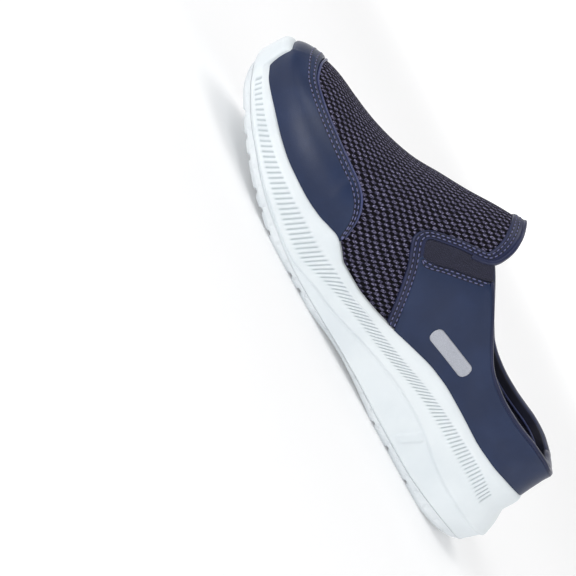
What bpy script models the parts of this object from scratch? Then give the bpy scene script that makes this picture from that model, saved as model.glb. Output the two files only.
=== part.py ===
"""Sneaker mule, left shoe, standing empty on its sole.

Metres, +Z up, toe to -Y, the outer (lateral) side of the foot to +X. A station is a distance from the
heel end towards the toe. The sole's plan outline and the upper's sections come from short tables of
shares, and every overlay is cut from the upper's own surface.
"""

import math

import bmesh
import bpy
import numpy as np

# Driving dimensions
LENGTH = 0.298  # outsole, heel end to toe end
HALF_WIDTH = 0.055  # from the shoe's axis to the lateral edge at the ball
SOLE_HEIGHT = 0.050  # unit of the sole's heights, about the rim at the heel
INSTEP_HEIGHT = 0.118  # ridge of the vamp at its rear edge
COLLAR_HEIGHT = 0.072  # collar at the heel
GUARD_HEIGHT = 0.054  # seam of the toe guard along its sides
WALL = 0.0024  # upper, lining included
GAP = 0.0003  # between neighbouring pieces
OVERLAY = 0.0012  # leather panels
GORE = 0.0009
BAND = 0.0011  # seam bindings
ROLL = 0.0013  # leather of the collar and throat bindings
ROLL_DEPTH = 0.0050  # how far those bindings reach over the edge
SEAT = 0.0011  # height of the overlays above the rim
ROLL_CLEARANCE = 0.0004  # extra play between a binding and the shell in its fold
INSOLE = 0.0040
INSOLE_PLAY = 0.0012  # between the insole and the shell round it
OUTLINE_EASE = 0.0035  # radius over which the hand-chosen outline is evened out
BUMPER_RISE = 0.0115  # raised middle of the toe rim
BUMPER_HALF = 0.0203  # half its length, along the outline
BUMPER_RAMP = 0.0058  # length of its sloping end
BUMPER_SHARE = 0.35  # of the rise that the band below the rim follows
RIB_DEPTH = 0.0009
RIB_FIRST, RIB_LAST = 0.090, 0.957  # shares of LENGTH
RIB_LEAN = 0.0065
GROOVE_WIDTH = 0.0028
GROOVE_DEPTH = 0.0022
BAR_WIDTH = 0.0055  # slanted bar embossed on the heel panel
BAR_PROUD = 0.0007
BAR_ROOT = 0.0015
BAR_FOOT, BAR_HEAD = (0.268, 0.25), (0.252, 0.90)  # station, and height within the panel
TIP_OFFSET = -0.09  # toe end, as a share of HALF_WIDTH to the lateral side
RIDGE_OFFSET = -0.045  # ridge of the vamp, likewise
HEEL_PIVOT, TOE_PIVOT = 0.128, 0.855  # stations where the sections start to fan out
THROAT, FLAP_BLEND = 0.475, 0.56  # flap corner, and where its slant has faded
TOE_FALL = 0.12  # slope of the ridge at the toe pivot
SPLIT = 0.62  # share of a vamp section's rise below which its rows stay upright
GORE_TRIM = (0.012, 0.010)  # shares of LENGTH that the gores end short of their seams
FOLD_START = 0.08  # share of the flap's edge, from its corner, where the fold begins
RIDGE_LIMIT = 0.985  # nearest to the ridge that a normal is read
HEEL_TUCK = 0.014  # how far the heel wall leans in
WALL_BULGE = 0.0035
TOE_BULGE = 0.0006
ROOF_GAIN = 0.12  # how much longer the sections stay level at the toe

# Counts
RIBS = 100
HEEL_COLUMNS = 16
RAMP_COLUMNS = 8
BUMPER_COLUMNS = 4
SHOULDER_COLUMNS = 2
OUTLINE_POINTS = 1440
REAR_HEEL, REAR_SIDE, VAMP_SIDE = 8, 9, 12
VAMP_SHOULDER, VAMP_TIP = 4, 3
LOW_ROWS, HIGH_ROWS = 6, 6
GUARD_ROWS, QUARTER_ROWS, QUARTER_TIP, GORE_ROWS, GORE_COLUMNS = 4, 5, 7, 3, 10
BAND_COLUMNS, FOLD_COLUMNS = 24, 10


def table(names, *rows):
    """Named columns from rows of shares."""
    return dict(zip(names.split(), np.array(rows, float).T))


# Widths are shares of HALF_WIDTH, stations shares of LENGTH.
OUTLINE = table(
    "station lateral medial",
    (0.017, 0.340, 0.340),
    (0.050, 0.517, 0.525),
    (0.100, 0.624, 0.633),
    (0.150, 0.663, 0.665),
    (0.200, 0.691, 0.677),
    (0.250, 0.713, 0.668),
    (0.300, 0.743, 0.655),
    (0.350, 0.777, 0.645),
    (0.400, 0.814, 0.650),
    (0.450, 0.855, 0.672),
    (0.500, 0.898, 0.713),
    (0.550, 0.937, 0.772),
    (0.600, 0.969, 0.834),
    (0.650, 0.991, 0.891),
    (0.700, 0.998, 0.934),
    (0.750, 0.980, 0.953),
    (0.800, 0.934, 0.950),
    (0.850, 0.848, 0.914),
    (0.900, 0.704, 0.831),
    (0.950, 0.490, 0.650),
    (0.977, 0.320, 0.490),
    (0.993, 0.125, 0.310),
)

# Heights are shares of SOLE_HEIGHT, from the ground up.
SIDE = table(
    "station parting crease rib_bottom rib_top rim floor",
    (0.000, 0.200, 0.440, 0.600, 0.760, 1.040, 0.600),
    (0.050, 0.195, 0.430, 0.606, 0.770, 1.030, 0.600),
    (0.100, 0.170, 0.416, 0.630, 0.800, 0.995, 0.600),
    (0.150, 0.130, 0.406, 0.650, 0.825, 0.946, 0.598),
    (0.200, 0.100, 0.424, 0.640, 0.810, 0.920, 0.594),
    (0.250, 0.092, 0.472, 0.636, 0.788, 0.922, 0.588),
    (0.300, 0.092, 0.494, 0.622, 0.756, 0.918, 0.580),
    (0.350, 0.096, 0.484, 0.578, 0.708, 0.884, 0.555),
    (0.400, 0.104, 0.444, 0.512, 0.646, 0.804, 0.520),
    (0.450, 0.104, 0.384, 0.460, 0.594, 0.708, 0.478),
    (0.500, 0.098, 0.308, 0.418, 0.548, 0.628, 0.430),
    (0.550, 0.090, 0.242, 0.366, 0.494, 0.580, 0.385),
    (0.600, 0.086, 0.200, 0.282, 0.480, 0.574, 0.350),
    (0.625, 0.086, 0.165, 0.230, 0.460, 0.620, 0.338),
    (0.650, 0.092, 0.140, 0.188, 0.444, 0.658, 0.328),
    (0.675, 0.102, 0.144, 0.184, 0.448, 0.624, 0.320),
    (0.700, 0.118, 0.156, 0.194, 0.448, 0.586, 0.315),
    (0.750, 0.152, 0.192, 0.230, 0.440, 0.554, 0.315),
    (0.800, 0.206, 0.240, 0.274, 0.444, 0.550, 0.330),
    (0.850, 0.280, 0.308, 0.336, 0.472, 0.574, 0.365),
    (0.900, 0.350, 0.382, 0.414, 0.520, 0.630, 0.420),
    (0.950, 0.450, 0.482, 0.514, 0.604, 0.696, 0.490),
    (0.975, 0.510, 0.555, 0.600, 0.680, 0.755, 0.530),
    (1.000, 0.560, 0.620, 0.680, 0.760, 0.800, 0.560),
)
GROUND = table(
    "station height",
    (0.000, 0.120),
    (0.025, 0.092),
    (0.050, 0.068),
    (0.100, 0.024),
    (0.145, 0.000),
    (0.310, 0.000),
    (0.350, 0.022),
    (0.400, 0.046),
    (0.450, 0.056),
    (0.490, 0.046),
    (0.530, 0.018),
    (0.562, 0.000),
    (0.692, 0.000),
    (0.735, 0.030),
    (0.770, 0.060),
    (0.810, 0.106),
    (0.845, 0.156),
    (0.880, 0.206),
    (0.915, 0.264),
    (0.945, 0.320),
    (0.975, 0.372),
    (1.000, 0.430),
)
# The ridge is a share of INSTEP_HEIGHT; wall and roof say how long each section stays upright and level.
RIDGE = table(
    "station height wall roof",
    (0.000, 1.150, 0.45, 0.62),
    (0.300, 1.150, 0.45, 0.62),
    (0.400, 1.125, 0.45, 0.62),
    (0.450, 1.075, 0.45, 0.62),
    (0.500, 1.003, 0.46, 0.60),
    (0.550, 0.925, 0.48, 0.58),
    (0.600, 0.836, 0.52, 0.58),
    (0.650, 0.756, 0.56, 0.58),
    (0.700, 0.675, 0.60, 0.60),
    (0.750, 0.621, 0.62, 0.62),
    (0.800, 0.584, 0.64, 0.62),
    (0.855, 0.559, 0.64, 0.62),
    (1.000, 0.500, 0.64, 0.62),
)
# Shares of COLLAR_HEIGHT
COLLAR = table(
    "station height",
    (0.000, 0.985),
    (0.070, 0.990),
    (0.100, 1.000),
    (0.140, 0.990),
    (0.170, 0.969),
    (0.200, 0.951),
    (0.240, 0.942),
    (0.275, 0.951),
    (0.305, 0.976),
    (0.333, 1.025),
    (0.360, 1.079),
    (0.390, 1.147),
    (0.426, 1.222),
    (0.450, 1.264),
    (0.475, 1.308),
)
# Rear edge of the flap, from its corner (0) to the ridge (1)
FLAP = table(
    "share station",
    (0.00, 0.4750),
    (0.20, 0.4765),
    (0.50, 0.4880),
    (0.75, 0.4985),
    (0.90, 0.5020),
    (1.00, 0.5025),
)
# Shares of GUARD_HEIGHT
GUARD_SEAM = table(
    "station height",
    (0.643, 0.640),
    (0.651, 0.722),
    (0.664, 0.839),
    (0.678, 0.913),
    (0.698, 0.967),
    (0.725, 0.990),
    (0.775, 0.990),
    (0.830, 0.993),
    (0.886, 1.006),
    (0.913, 1.022),
    (0.943, 1.072),
    (0.970, 1.120),
)
# Front seam and gore, side view, heights as shares of COLLAR_HEIGHT
QUARTER_FRONT = table(
    "station height",
    (0.450, 0.482),
    (0.473, 0.585),
    (0.503, 0.717),
    (0.530, 0.825),
    (0.552, 0.886),
)
GORE_BOTTOM = table(
    "station height",
    (0.450, 1.264),
    (0.480, 1.153),
    (0.507, 1.054),
    (0.530, 0.963),
    (0.550, 0.925),
    (0.562, 0.940),
    (0.574, 0.962),
)
GORE_TOP = table(
    "station height",
    (0.450, 1.270),
    (0.473, 1.308),
    (0.483, 1.296),
    (0.503, 1.217),
    (0.530, 1.139),
    (0.554, 1.054),
    (0.574, 0.965),
)
# Both edges of the seam binding from the rim to the flap corner
SEAM_BAND = table(
    "row inner inner_height outer outer_height",
    (0, 0.452, 0.487, 0.470, 0.474),
    (1, 0.473, 0.590, 0.498, 0.612),
    (2, 0.503, 0.722, 0.527, 0.739),
    (3, 0.530, 0.830, 0.556, 0.847),
    (4, 0.552, 0.893, 0.580, 0.918),
    (5, 0.571, 0.925, 0.590, 0.975),
    (6, 0.577, 0.955, 0.588, 1.049),
    (7, 0.571, 1.000, 0.570, 1.118),
    (8, 0.556, 1.065, 0.552, 1.170),
    (9, 0.532, 1.150, 0.537, 1.228),
    (10, 0.506, 1.226, 0.520, 1.290),
    (11, 0.493, 1.270, 0.509, 1.330),
)
# How far the ribs' tops lean to the heel, as a share of RIB_LEAN
LEAN = table(
    "station share",
    (0.00, 0.0),
    (0.10, 0.0),
    (0.25, 0.3),
    (0.45, 0.8),
    (0.60, 1.0),
    (0.80, 1.0),
    (0.90, 0.9),
    (0.957, 0.0),
    (1.00, 0.0),
)
# Insets of the sole's side from its outline: at the side, at the heel end and at the toe end
BOTTOM_EDGE = (0.0042, 0.0100, 0.0075)
TREAD_SIDE = (0.0016, 0.0060, 0.0055)
PARTING = (0.0010, 0.0034, 0.0038)
PANEL_TOP = (0.0016, 0.0012, 0.0018)
CREASE = (0.0000, 0.0000, 0.0012)
RIB_FOOT = (0.0004, 0.0042, 0.0004)
RIB_HEAD = (0.0020, 0.0100, 0.0000)
LIP = (0.0024, 0.0108, 0.0002)
RIM_OUTER = (0.0036, 0.0128, 0.0024)
RIM_INNER = (0.0058, 0.0152, 0.0092)
UPPER_FOOT = tuple(inset + GAP for inset in RIM_INNER)
TREAD_RISE = 0.0022
PANEL_STEP = 0.0011
LIP_DROP = 0.0038
RIM_CROWN = 0.0010
GROOVES = (0.185, 0.258, 0.312, 0.595, 0.627, 0.711, 0.752, 0.785, 0.842, 0.876, 0.913)


def ease(columns, name, at, key="station"):
    """Read a column as a smooth curve that never overshoots its rows."""
    x, y = columns[key], columns[name]
    step, grade = np.diff(x), np.diff(y) / np.diff(x)
    slope = np.zeros_like(y)
    slope[0], slope[-1] = grade[0], grade[-1]
    for i in range(1, len(x) - 1):
        if grade[i - 1] * grade[i] > 0:
            before, after = 2 * step[i] + step[i - 1], step[i] + 2 * step[i - 1]
            slope[i] = (before + after) / (before / grade[i - 1] + after / grade[i])
    at = np.clip(at, x[0], x[-1])
    i = np.clip(np.searchsorted(x, at) - 1, 0, len(x) - 2)
    u = (at - x[i]) / step[i]
    return (
        (2 * u**3 - 3 * u**2 + 1) * y[i]
        + (u**3 - 2 * u**2 + u) * step[i] * slope[i]
        + (3 * u**2 - 2 * u**3) * y[i + 1]
        + (u**3 - u**2) * step[i] * slope[i + 1]
    )


def smoothstep(share):
    share = np.clip(share, 0, 1)
    return share * share * (3 - 2 * share)


def closed_outline():
    """Even points on the sole's plan outline as (x, station), from the heel end round the lateral side."""
    stations = OUTLINE["station"] * LENGTH
    lateral = np.stack([OUTLINE["lateral"] * HALF_WIDTH, stations], 1)
    medial = np.stack([-OUTLINE["medial"] * HALF_WIDTH, stations], 1)[::-1]
    corners = np.concatenate([[(0, 0)], lateral, [(TIP_OFFSET * HALF_WIDTH, LENGTH)], medial])
    before, after, beyond = (np.roll(corners, k, axis=0) for k in (1, -1, -2))
    spans = []
    for u in np.linspace(0, 1, 24, endpoint=False):
        spans.append(
            0.5
            * (
                2 * corners
                + (after - before) * u
                + (2 * before - 5 * corners + 4 * after - beyond) * u**2
                + (3 * corners - before - 3 * after + beyond) * u**3
            )
        )
    points = np.stack(spans, 1).reshape(-1, 2)
    points = np.concatenate([points, points[:1]])
    arc = np.concatenate([[0], np.cumsum(np.linalg.norm(np.diff(points, axis=0), axis=1))])
    even = np.linspace(0, arc[-1], OUTLINE_POINTS, endpoint=False)
    points = np.stack([np.interp(even, arc, points[:, k]) for k in (0, 1)], 1)
    reach = int(3 * OUTLINE_EASE / even[1])
    weights = np.exp(-0.5 * (np.arange(-reach, reach + 1) * even[1] / OUTLINE_EASE) ** 2)
    points = sum(w * np.roll(points, k, axis=0) for k, w in zip(range(-reach, reach + 1), weights))
    points /= weights.sum()
    points[:, 1] = (points[:, 1] - points[:, 1].min()) * LENGTH / np.ptp(points[:, 1])
    return np.roll(points, -int(points[:, 1].argmin()), axis=0)


class Flank:
    """One side of the shoe, read by the distance s along the outline from the heel end to the toe end."""

    def __init__(self, sign, points, normals):
        self.sign = sign
        self.points, self.normals = points, normals
        self.arc = np.concatenate([[0], np.cumsum(np.linalg.norm(np.diff(points, axis=0), axis=1))])
        self.end = self.arc[-1]
        self.foot_stations = np.maximum.accumulate(self.at(self.arc, UPPER_FOOT)[:, 1])

    def read(self, values, s):
        return np.stack([np.interp(s, self.arc, values[:, k]) for k in (0, 1)], -1)

    def station(self, s):
        return np.interp(s, self.arc, self.points[:, 1])

    def ends(self, s):
        """How much the outline faces the heel and the toe at s."""
        facing = self.read(self.normals, s)[..., 1]
        return np.clip(-facing, 0, 1) ** 1.2, np.clip(facing, 0, 1) ** 2

    def at(self, s, inset):
        """The outline moved in by (side, heel, toe) insets, as (x, station)."""
        side, heel, toe = inset
        back, front = self.ends(s)
        depth = side + (heel - side) * back + (toe - side) * front
        return self.read(self.points, s) - self.read(self.normals, s) * np.asarray(depth)[..., None]

    def level(self, s, name):
        """A height of SIDE at s, without the toe bumper."""
        return ease(SIDE, name, self.station(s) / LENGTH) * SOLE_HEIGHT

    def height(self, s, name):
        """The same with the bumper, which lifts the rim and, less, the head of the rib band."""
        rise = smoothstep((BUMPER_HALF + BUMPER_RAMP - (self.end - s)) / BUMPER_RAMP) * BUMPER_RISE
        return self.level(s, name) + rise * {"rim": 1.0, "rib_top": BUMPER_SHARE}.get(name, 0.0)

    def at_station(self, station):
        """The s whose upper section stands at this station, between the pivots."""
        return np.interp(station, self.foot_stations, self.arc)


def flanks():
    points = closed_outline()
    along = np.roll(points, -1, axis=0) - np.roll(points, 1, axis=0)
    along /= np.linalg.norm(along, axis=1)[:, None]
    normals = np.stack([along[:, 1], -along[:, 0]], 1)
    toe = int(points[:, 1].argmax())
    medial = np.r_[0, np.arange(len(points) - 1, toe - 1, -1)]
    return (
        Flank(1, points[: toe + 1], normals[: toe + 1]),
        Flank(-1, points[medial], normals[medial]),
    )


LATERAL, MEDIAL = flanks()


def columns_of(flank):
    """Distances s of the sole's columns: heel arc, ribs, shoulder of the toe, bumper ramp and bumper."""
    first = np.interp(RIB_FIRST * LENGTH, flank.points[:, 1], flank.arc)
    last = np.interp(RIB_LAST * LENGTH, flank.points[:, 1], flank.arc)
    ramp = flank.end - BUMPER_HALF - BUMPER_RAMP
    last = min(last, ramp - 2 * RIB_DEPTH)
    share = np.linspace(0, 1, RIBS + 1)
    widening = 0.9 * share + 0.1 * share**2  # the ribs are wider at the toe
    return np.concatenate(
        [
            np.linspace(0, first, HEEL_COLUMNS + 1)[:-1],
            first + (last - first) * widening,
            np.linspace(last, ramp, SHOULDER_COLUMNS + 1)[1:],
            np.linspace(ramp, flank.end - BUMPER_HALF, RAMP_COLUMNS + 1)[1:],
            np.linspace(flank.end - BUMPER_HALF, flank.end, BUMPER_COLUMNS + 1)[1:],
        ]
    )


COLUMNS = {flank: columns_of(flank) for flank in (LATERAL, MEDIAL)}
LAST = len(COLUMNS[LATERAL]) - 1
RIB_COLUMNS = range(HEEL_COLUMNS, HEEL_COLUMNS + RIBS)


MIDDLE = (LATERAL.points[:, 0].max() + MEDIAL.points[:, 0].min()) / 2


def place(x, station, z):
    """World coordinates, with the origin under the middle of the sole."""
    return (float(x - MIDDLE), float(LENGTH / 2 - station), float(z))


class Solid:
    """A mesh under construction, with helpers for rings of columns."""

    def __init__(self):
        self.mesh = bmesh.new()

    def ring(self, inset, level, stride=1, lean=0.0, offset=0.0):
        """Vertices round the sole, lateral side first; level is a name of SIDE or a function of flank and s."""
        vertices = {}
        for flank in (LATERAL, MEDIAL):
            for i in range(0, LAST + 1, stride):
                if flank is MEDIAL and i in (0, LAST):
                    vertices[flank, i] = vertices[LATERAL, i]
                    continue
                s = COLUMNS[flank][i]
                s = s - lean * RIB_LEAN * ease(LEAN, "share", flank.station(s) / LENGTH)
                x, station = flank.at(s, inset)
                z = level(flank, s) if callable(level) else flank.height(s, level)
                vertices[flank, i] = self.mesh.verts.new(place(x, station, z + offset))
        return vertices

    def face(self, *corners):
        distinct = list(dict.fromkeys(corners))
        if len(distinct) > 2:
            self.mesh.faces.new(distinct)

    def bridge(self, lower, upper):
        """Faces between two rings; one may have twice the other's columns."""
        for flank in (LATERAL, MEDIAL):
            low = sorted(i for side, i in lower if side is flank)
            high = sorted(i for side, i in upper if side is flank)
            fine, coarse = (low, high) if len(low) >= len(high) else (high, low)
            fine_ring, coarse_ring = (lower, upper) if fine is low else (upper, lower)
            for i, j in zip(coarse, coarse[1:]):
                between = [k for k in fine if i <= k <= j]
                edge = [fine_ring[flank, k] for k in between]
                if len(between) == 2:
                    self.face(edge[0], edge[1], coarse_ring[flank, j], coarse_ring[flank, i])
                else:
                    self.face(edge[0], edge[1], coarse_ring[flank, i])
                    self.face(edge[1], coarse_ring[flank, j], coarse_ring[flank, i])
                    self.face(edge[1], edge[2], coarse_ring[flank, j])

    def ladder(self, ring):
        """Close a ring from side to side."""
        rungs = sorted({i for _, i in ring})
        for i, j in zip(rungs, rungs[1:]):
            self.face(ring[LATERAL, i], ring[LATERAL, j], ring[MEDIAL, j], ring[MEDIAL, i])

    def sheet(self, rows):
        """Quads over a grid of points; repeated points are welded later."""
        grid = [[self.mesh.verts.new(point) for point in row] for row in rows]
        for a, b in zip(grid, grid[1:]):
            for k in range(len(a) - 1):
                self.mesh.faces.new((a[k], a[k + 1], b[k + 1], b[k]))

    def tube(self, rings):
        """A closed profile swept through rings of points, with caps."""
        grid = [[self.mesh.verts.new(point) for point in ring] for ring in rings]
        for a, b in zip(grid, grid[1:]):
            for k in range(len(a)):
                n = (k + 1) % len(a)
                self.mesh.faces.new((a[k], a[n], b[n], b[k]))
        self.mesh.faces.new(grid[0])
        self.mesh.faces.new(grid[-1][::-1])

    def finish(self, name, material, upward=None):
        """Weld, face outwards, shade smooth and link the object."""
        bmesh.ops.remove_doubles(self.mesh, verts=self.mesh.verts, dist=1e-6)
        bmesh.ops.recalc_face_normals(self.mesh, faces=self.mesh.faces)
        if upward is not None:
            turned = sum(face.normal.dot(upward(face.calc_center_median())) for face in self.mesh.faces)
            if turned < 0:
                bmesh.ops.reverse_faces(self.mesh, faces=self.mesh.faces)
        data = bpy.data.meshes.new(name)
        self.mesh.to_mesh(data)
        self.mesh.free()
        data.shade_smooth()
        data.set_sharp_from_angle(angle=math.radians(35))
        item = bpy.data.objects.new(name, data)
        bpy.context.collection.objects.link(item)
        item.data.materials.append(material)
        return item


def finish_of(name, colour, roughness):
    """A plain Principled material."""
    material = bpy.data.materials.new(name)
    material.use_nodes = True
    shader = material.node_tree.nodes["Principled BSDF"]
    shader.inputs["Base Color"].default_value = (*colour, 1)
    shader.inputs["Roughness"].default_value = roughness
    shader.inputs["Metallic"].default_value = 0.0
    return material


def ground(flank, s):
    return ease(GROUND, "height", flank.station(s) / LENGTH) * SOLE_HEIGHT


def outsole():
    """The tread layer, with a bevelled foot and cross grooves."""
    solid = Solid()
    bottom = solid.ring(BOTTOM_EDGE, ground, stride=2)
    side = solid.ring(TREAD_SIDE, ground, stride=2, offset=TREAD_RISE)
    top = solid.ring(PARTING, "parting", stride=2, offset=-GAP / 2)
    solid.ladder(bottom)
    solid.bridge(bottom, side)
    solid.bridge(side, top)
    solid.ladder(top)
    item = solid.finish("outsole", finish_of("outsole_rubber", (0.80, 0.83, 0.87), 0.55))
    cut(item, groove_cutter())
    return item


def groove_cutter():
    """Boxes across the tread, each square to the ground line at its station."""
    cutter = Solid()
    for share in GROOVES:
        level = ease(GROUND, "height", share) * SOLE_HEIGHT
        ahead = ease(GROUND, "height", share + 0.01) * SOLE_HEIGHT
        tilt = math.atan2(ahead - level, 0.01 * LENGTH)
        along = np.array([0, -math.cos(tilt), math.sin(tilt)]) * GROOVE_WIDTH / 2
        up = np.array([0, math.sin(tilt), math.cos(tilt)])
        centre = np.array(place(0, share * LENGTH, level))
        corners = []
        for x in (-1.3 * HALF_WIDTH, 1.3 * HALF_WIDTH):
            below = -4 * GROOVE_DEPTH
            for way, depth in ((-1, below), (1, below), (1, GROOVE_DEPTH), (-1, GROOVE_DEPTH)):
                corners.append(centre + (x, 0, 0) + way * along + up * depth)
        cutter.tube([corners[:4], corners[4:]])
    item = cutter.finish("groove_cutter", finish_of("guide", (0.5, 0.5, 0.5), 0.5))
    item.hide_render = True
    item.display_type = "WIRE"
    return item


def cut(item, tool, operation="DIFFERENCE"):
    modifier = item.modifiers.new(tool.name, "BOOLEAN")
    modifier.operation = operation
    modifier.solver = "EXACT"
    modifier.object = tool


def rib_cells(solid, foot, head):
    """A groove between each two columns of the rib band, and a plain band round heel and toe."""
    for flank in (LATERAL, MEDIAL):
        for i in range(LAST):
            a, b, c, d = foot[flank, i], foot[flank, i + 1], head[flank, i + 1], head[flank, i]
            if i not in RIB_COLUMNS:
                solid.face(a, b, c, d)
                continue
            facing = flank.read(flank.normals, (COLUMNS[flank][i] + COLUMNS[flank][i + 1]) / 2)
            inward = np.array([-facing[0], facing[1], 0]) * RIB_DEPTH
            low, high = (np.array(a.co) + b.co) / 2, (np.array(c.co) + d.co) / 2
            near = solid.mesh.verts.new(low + 0.14 * (high - low) + inward)
            far = solid.mesh.verts.new(low + 0.86 * (high - low) + inward)
            solid.face(a, b, near)
            solid.face(b, c, far, near)
            solid.face(c, d, far)
            solid.face(d, a, near, far)


def panel_point(flank, station, share, offset):
    """A point of the recessed heel panel, at a share of its height."""
    s = np.interp(station, flank.points[:, 1], flank.arc)
    low, high = flank.height(s, "parting"), flank.height(s, "crease") - PANEL_STEP
    x, y = (1 - share) * flank.at(s, PARTING) + share * flank.at(s, PANEL_TOP)
    facing = flank.read(flank.normals, s)
    return place(x + offset * facing[0], y + offset * facing[1], low + share * (high - low))


def panel_bar(flank):
    """The slanted bar on one side's heel panel, rooted in it."""
    bar = Solid()
    rings = []
    for station, share in (BAR_FOOT, BAR_HEAD):
        ring = []
        for way, offset in ((-1, -BAR_ROOT), (1, -BAR_ROOT), (1, BAR_PROUD), (-1, BAR_PROUD)):
            ring.append(panel_point(flank, station * LENGTH + way * BAR_WIDTH / 2, share, offset))
        rings.append(ring)
    bar.tube(rings)
    side = "lateral" if flank is LATERAL else "medial"
    item = bar.finish(f"bar_{side}", finish_of(f"guide_{side}", (0.5, 0.5, 0.5), 0.5))
    item.hide_render = True
    item.display_type = "WIRE"
    return item


def midsole():
    """The cupsole: recessed panel, crease, ribs, lip, rim and foot bed."""
    solid = Solid()
    foot = solid.ring(PARTING, "parting", stride=2, offset=GAP / 2)
    panel = solid.ring(PANEL_TOP, "crease", stride=2, offset=-PANEL_STEP)
    crease = solid.ring(CREASE, "crease", stride=2)
    rib_foot = solid.ring(RIB_FOOT, "rib_bottom")
    rib_head = solid.ring(RIB_HEAD, "rib_top", lean=1)
    lip = solid.ring(LIP, "rim", stride=2, lean=1, offset=-LIP_DROP)
    outer = solid.ring(RIM_OUTER, "rim", stride=2, lean=1, offset=-RIM_CROWN)
    inner = solid.ring(RIM_INNER, "rim", stride=2, lean=1)
    bed = solid.ring(RIM_INNER, "floor", stride=2, lean=1)
    solid.ladder(foot)
    for lower, upper in ((foot, panel), (panel, crease), (crease, rib_foot)):
        solid.bridge(lower, upper)
    rib_cells(solid, rib_foot, rib_head)
    for lower, upper in ((rib_head, lip), (lip, outer), (outer, inner), (inner, bed)):
        solid.bridge(lower, upper)
    solid.ladder(bed)
    item = solid.finish("midsole", finish_of("midsole_foam", (0.84, 0.86, 0.90), 0.5))
    for flank in (LATERAL, MEDIAL):
        cut(item, panel_bar(flank), "UNION")
    return item


def section(flank, s):
    """Bezier points of one half section, from the rim (below the bumper at the toe) up to the ridge."""
    x, station = flank.at(s, UPPER_FOOT)
    rim = flank.level(s, "rim")
    along = float(np.clip(station, HEEL_PIVOT * LENGTH, TOE_PIVOT * LENGTH))
    share = along / LENGTH
    top = np.array([RIDGE_OFFSET * HALF_WIDTH, along, ease(RIDGE, "height", share) * INSTEP_HEIGHT])
    start = np.array([x, station, rim])
    reach = start[:2] - top[:2]
    span = np.linalg.norm(reach)
    out = reach / span
    back, front = flank.ends(s)
    wall = ease(RIDGE, "wall", share)
    roof = ease(RIDGE, "roof", share) + ROOF_GAIN * front
    swell = WALL_BULGE * (1 - back) - HEEL_TUCK * back - (WALL_BULGE - TOE_BULGE) * front
    if station < 0.5 * LENGTH:
        swell -= WALL_BULGE * smoothstep((0.5 - station / LENGTH) / 0.15) * (1 - back)
    first = start + np.append(out * swell, wall * (top[2] - rim))
    fall = TOE_FALL * max(0.0, station - TOE_PIVOT * LENGTH) / max(span, 1e-9)
    last = top + np.append(out * roof * span, -fall * roof * span)
    return start, first, last, top


def on_curve(points, u):
    a, b, c, d = points
    return (1 - u) ** 3 * a + 3 * (1 - u) ** 2 * u * b + 3 * (1 - u) * u**2 * c + u**3 * d


def rise_of(points, z):
    """The share u at which a half section reaches height z."""
    low, high = 0.0, 1.0
    for _ in range(30):
        middle = (low + high) / 2
        if on_curve(points, middle)[2] < z:
            low = middle
        else:
            high = middle
    return (low + high) / 2


def skin(flank, s, u, offset=0.0):
    """A point of the upper's outer surface, moved out along its normal."""
    point = on_curve(section(flank, s), u)
    if offset:
        point = point + offset * normal(flank, s, u)
    return place(*point)


def normal(flank, s, u):
    """Outward normal in (x, station, z)."""
    small = 0.0008
    low, high = max(0.0, s - small), min(flank.end, s + small)
    across = on_curve(section(flank, high), u) - on_curve(section(flank, low), u)
    up = on_curve(section(flank, s), min(1.0, u + 0.01)) - on_curve(section(flank, s), max(0.0, u - 0.01))
    if s < small or s > flank.end - small:
        across = np.array([flank.sign if s < small else -flank.sign, 0.0, 0.0])
    facing = np.cross(across, up) * flank.sign
    return facing / np.linalg.norm(facing)


def drape(flank, station, z, offset):
    """A point of the surface seen from the side at this station and height."""
    s = flank.at_station(station)
    return skin(flank, s, rise_of(section(flank, s), z), offset)


def collar_height(flank, s):
    return ease(COLLAR, "height", flank.at(s, UPPER_FOOT)[1] / LENGTH) * COLLAR_HEIGHT


def rear_columns(flank):
    heel = flank.at_station(HEEL_PIVOT * LENGTH)
    stations = np.linspace(HEEL_PIVOT, THROAT, REAR_SIDE + 1)[1:] * LENGTH
    return np.concatenate([np.linspace(0, heel, REAR_HEEL + 1), flank.at_station(stations)])


def vamp_columns(flank):
    stations = np.linspace(THROAT, TOE_PIVOT, VAMP_SIDE + 1) * LENGTH
    body = flank.at_station(stations)
    ramp = flank.end - BUMPER_HALF - BUMPER_RAMP
    return np.concatenate(
        [
            body,
            np.linspace(body[-1], ramp, VAMP_SHOULDER + 1)[1:],
            [flank.end - BUMPER_HALF],
            np.linspace(flank.end - BUMPER_HALF, flank.end, VAMP_TIP + 1)[1:],
        ]
    )


def bed_point(flank, s):
    x, station = flank.at(s, UPPER_FOOT)
    return place(x, station, flank.height(s, "floor") + GAP)


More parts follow.
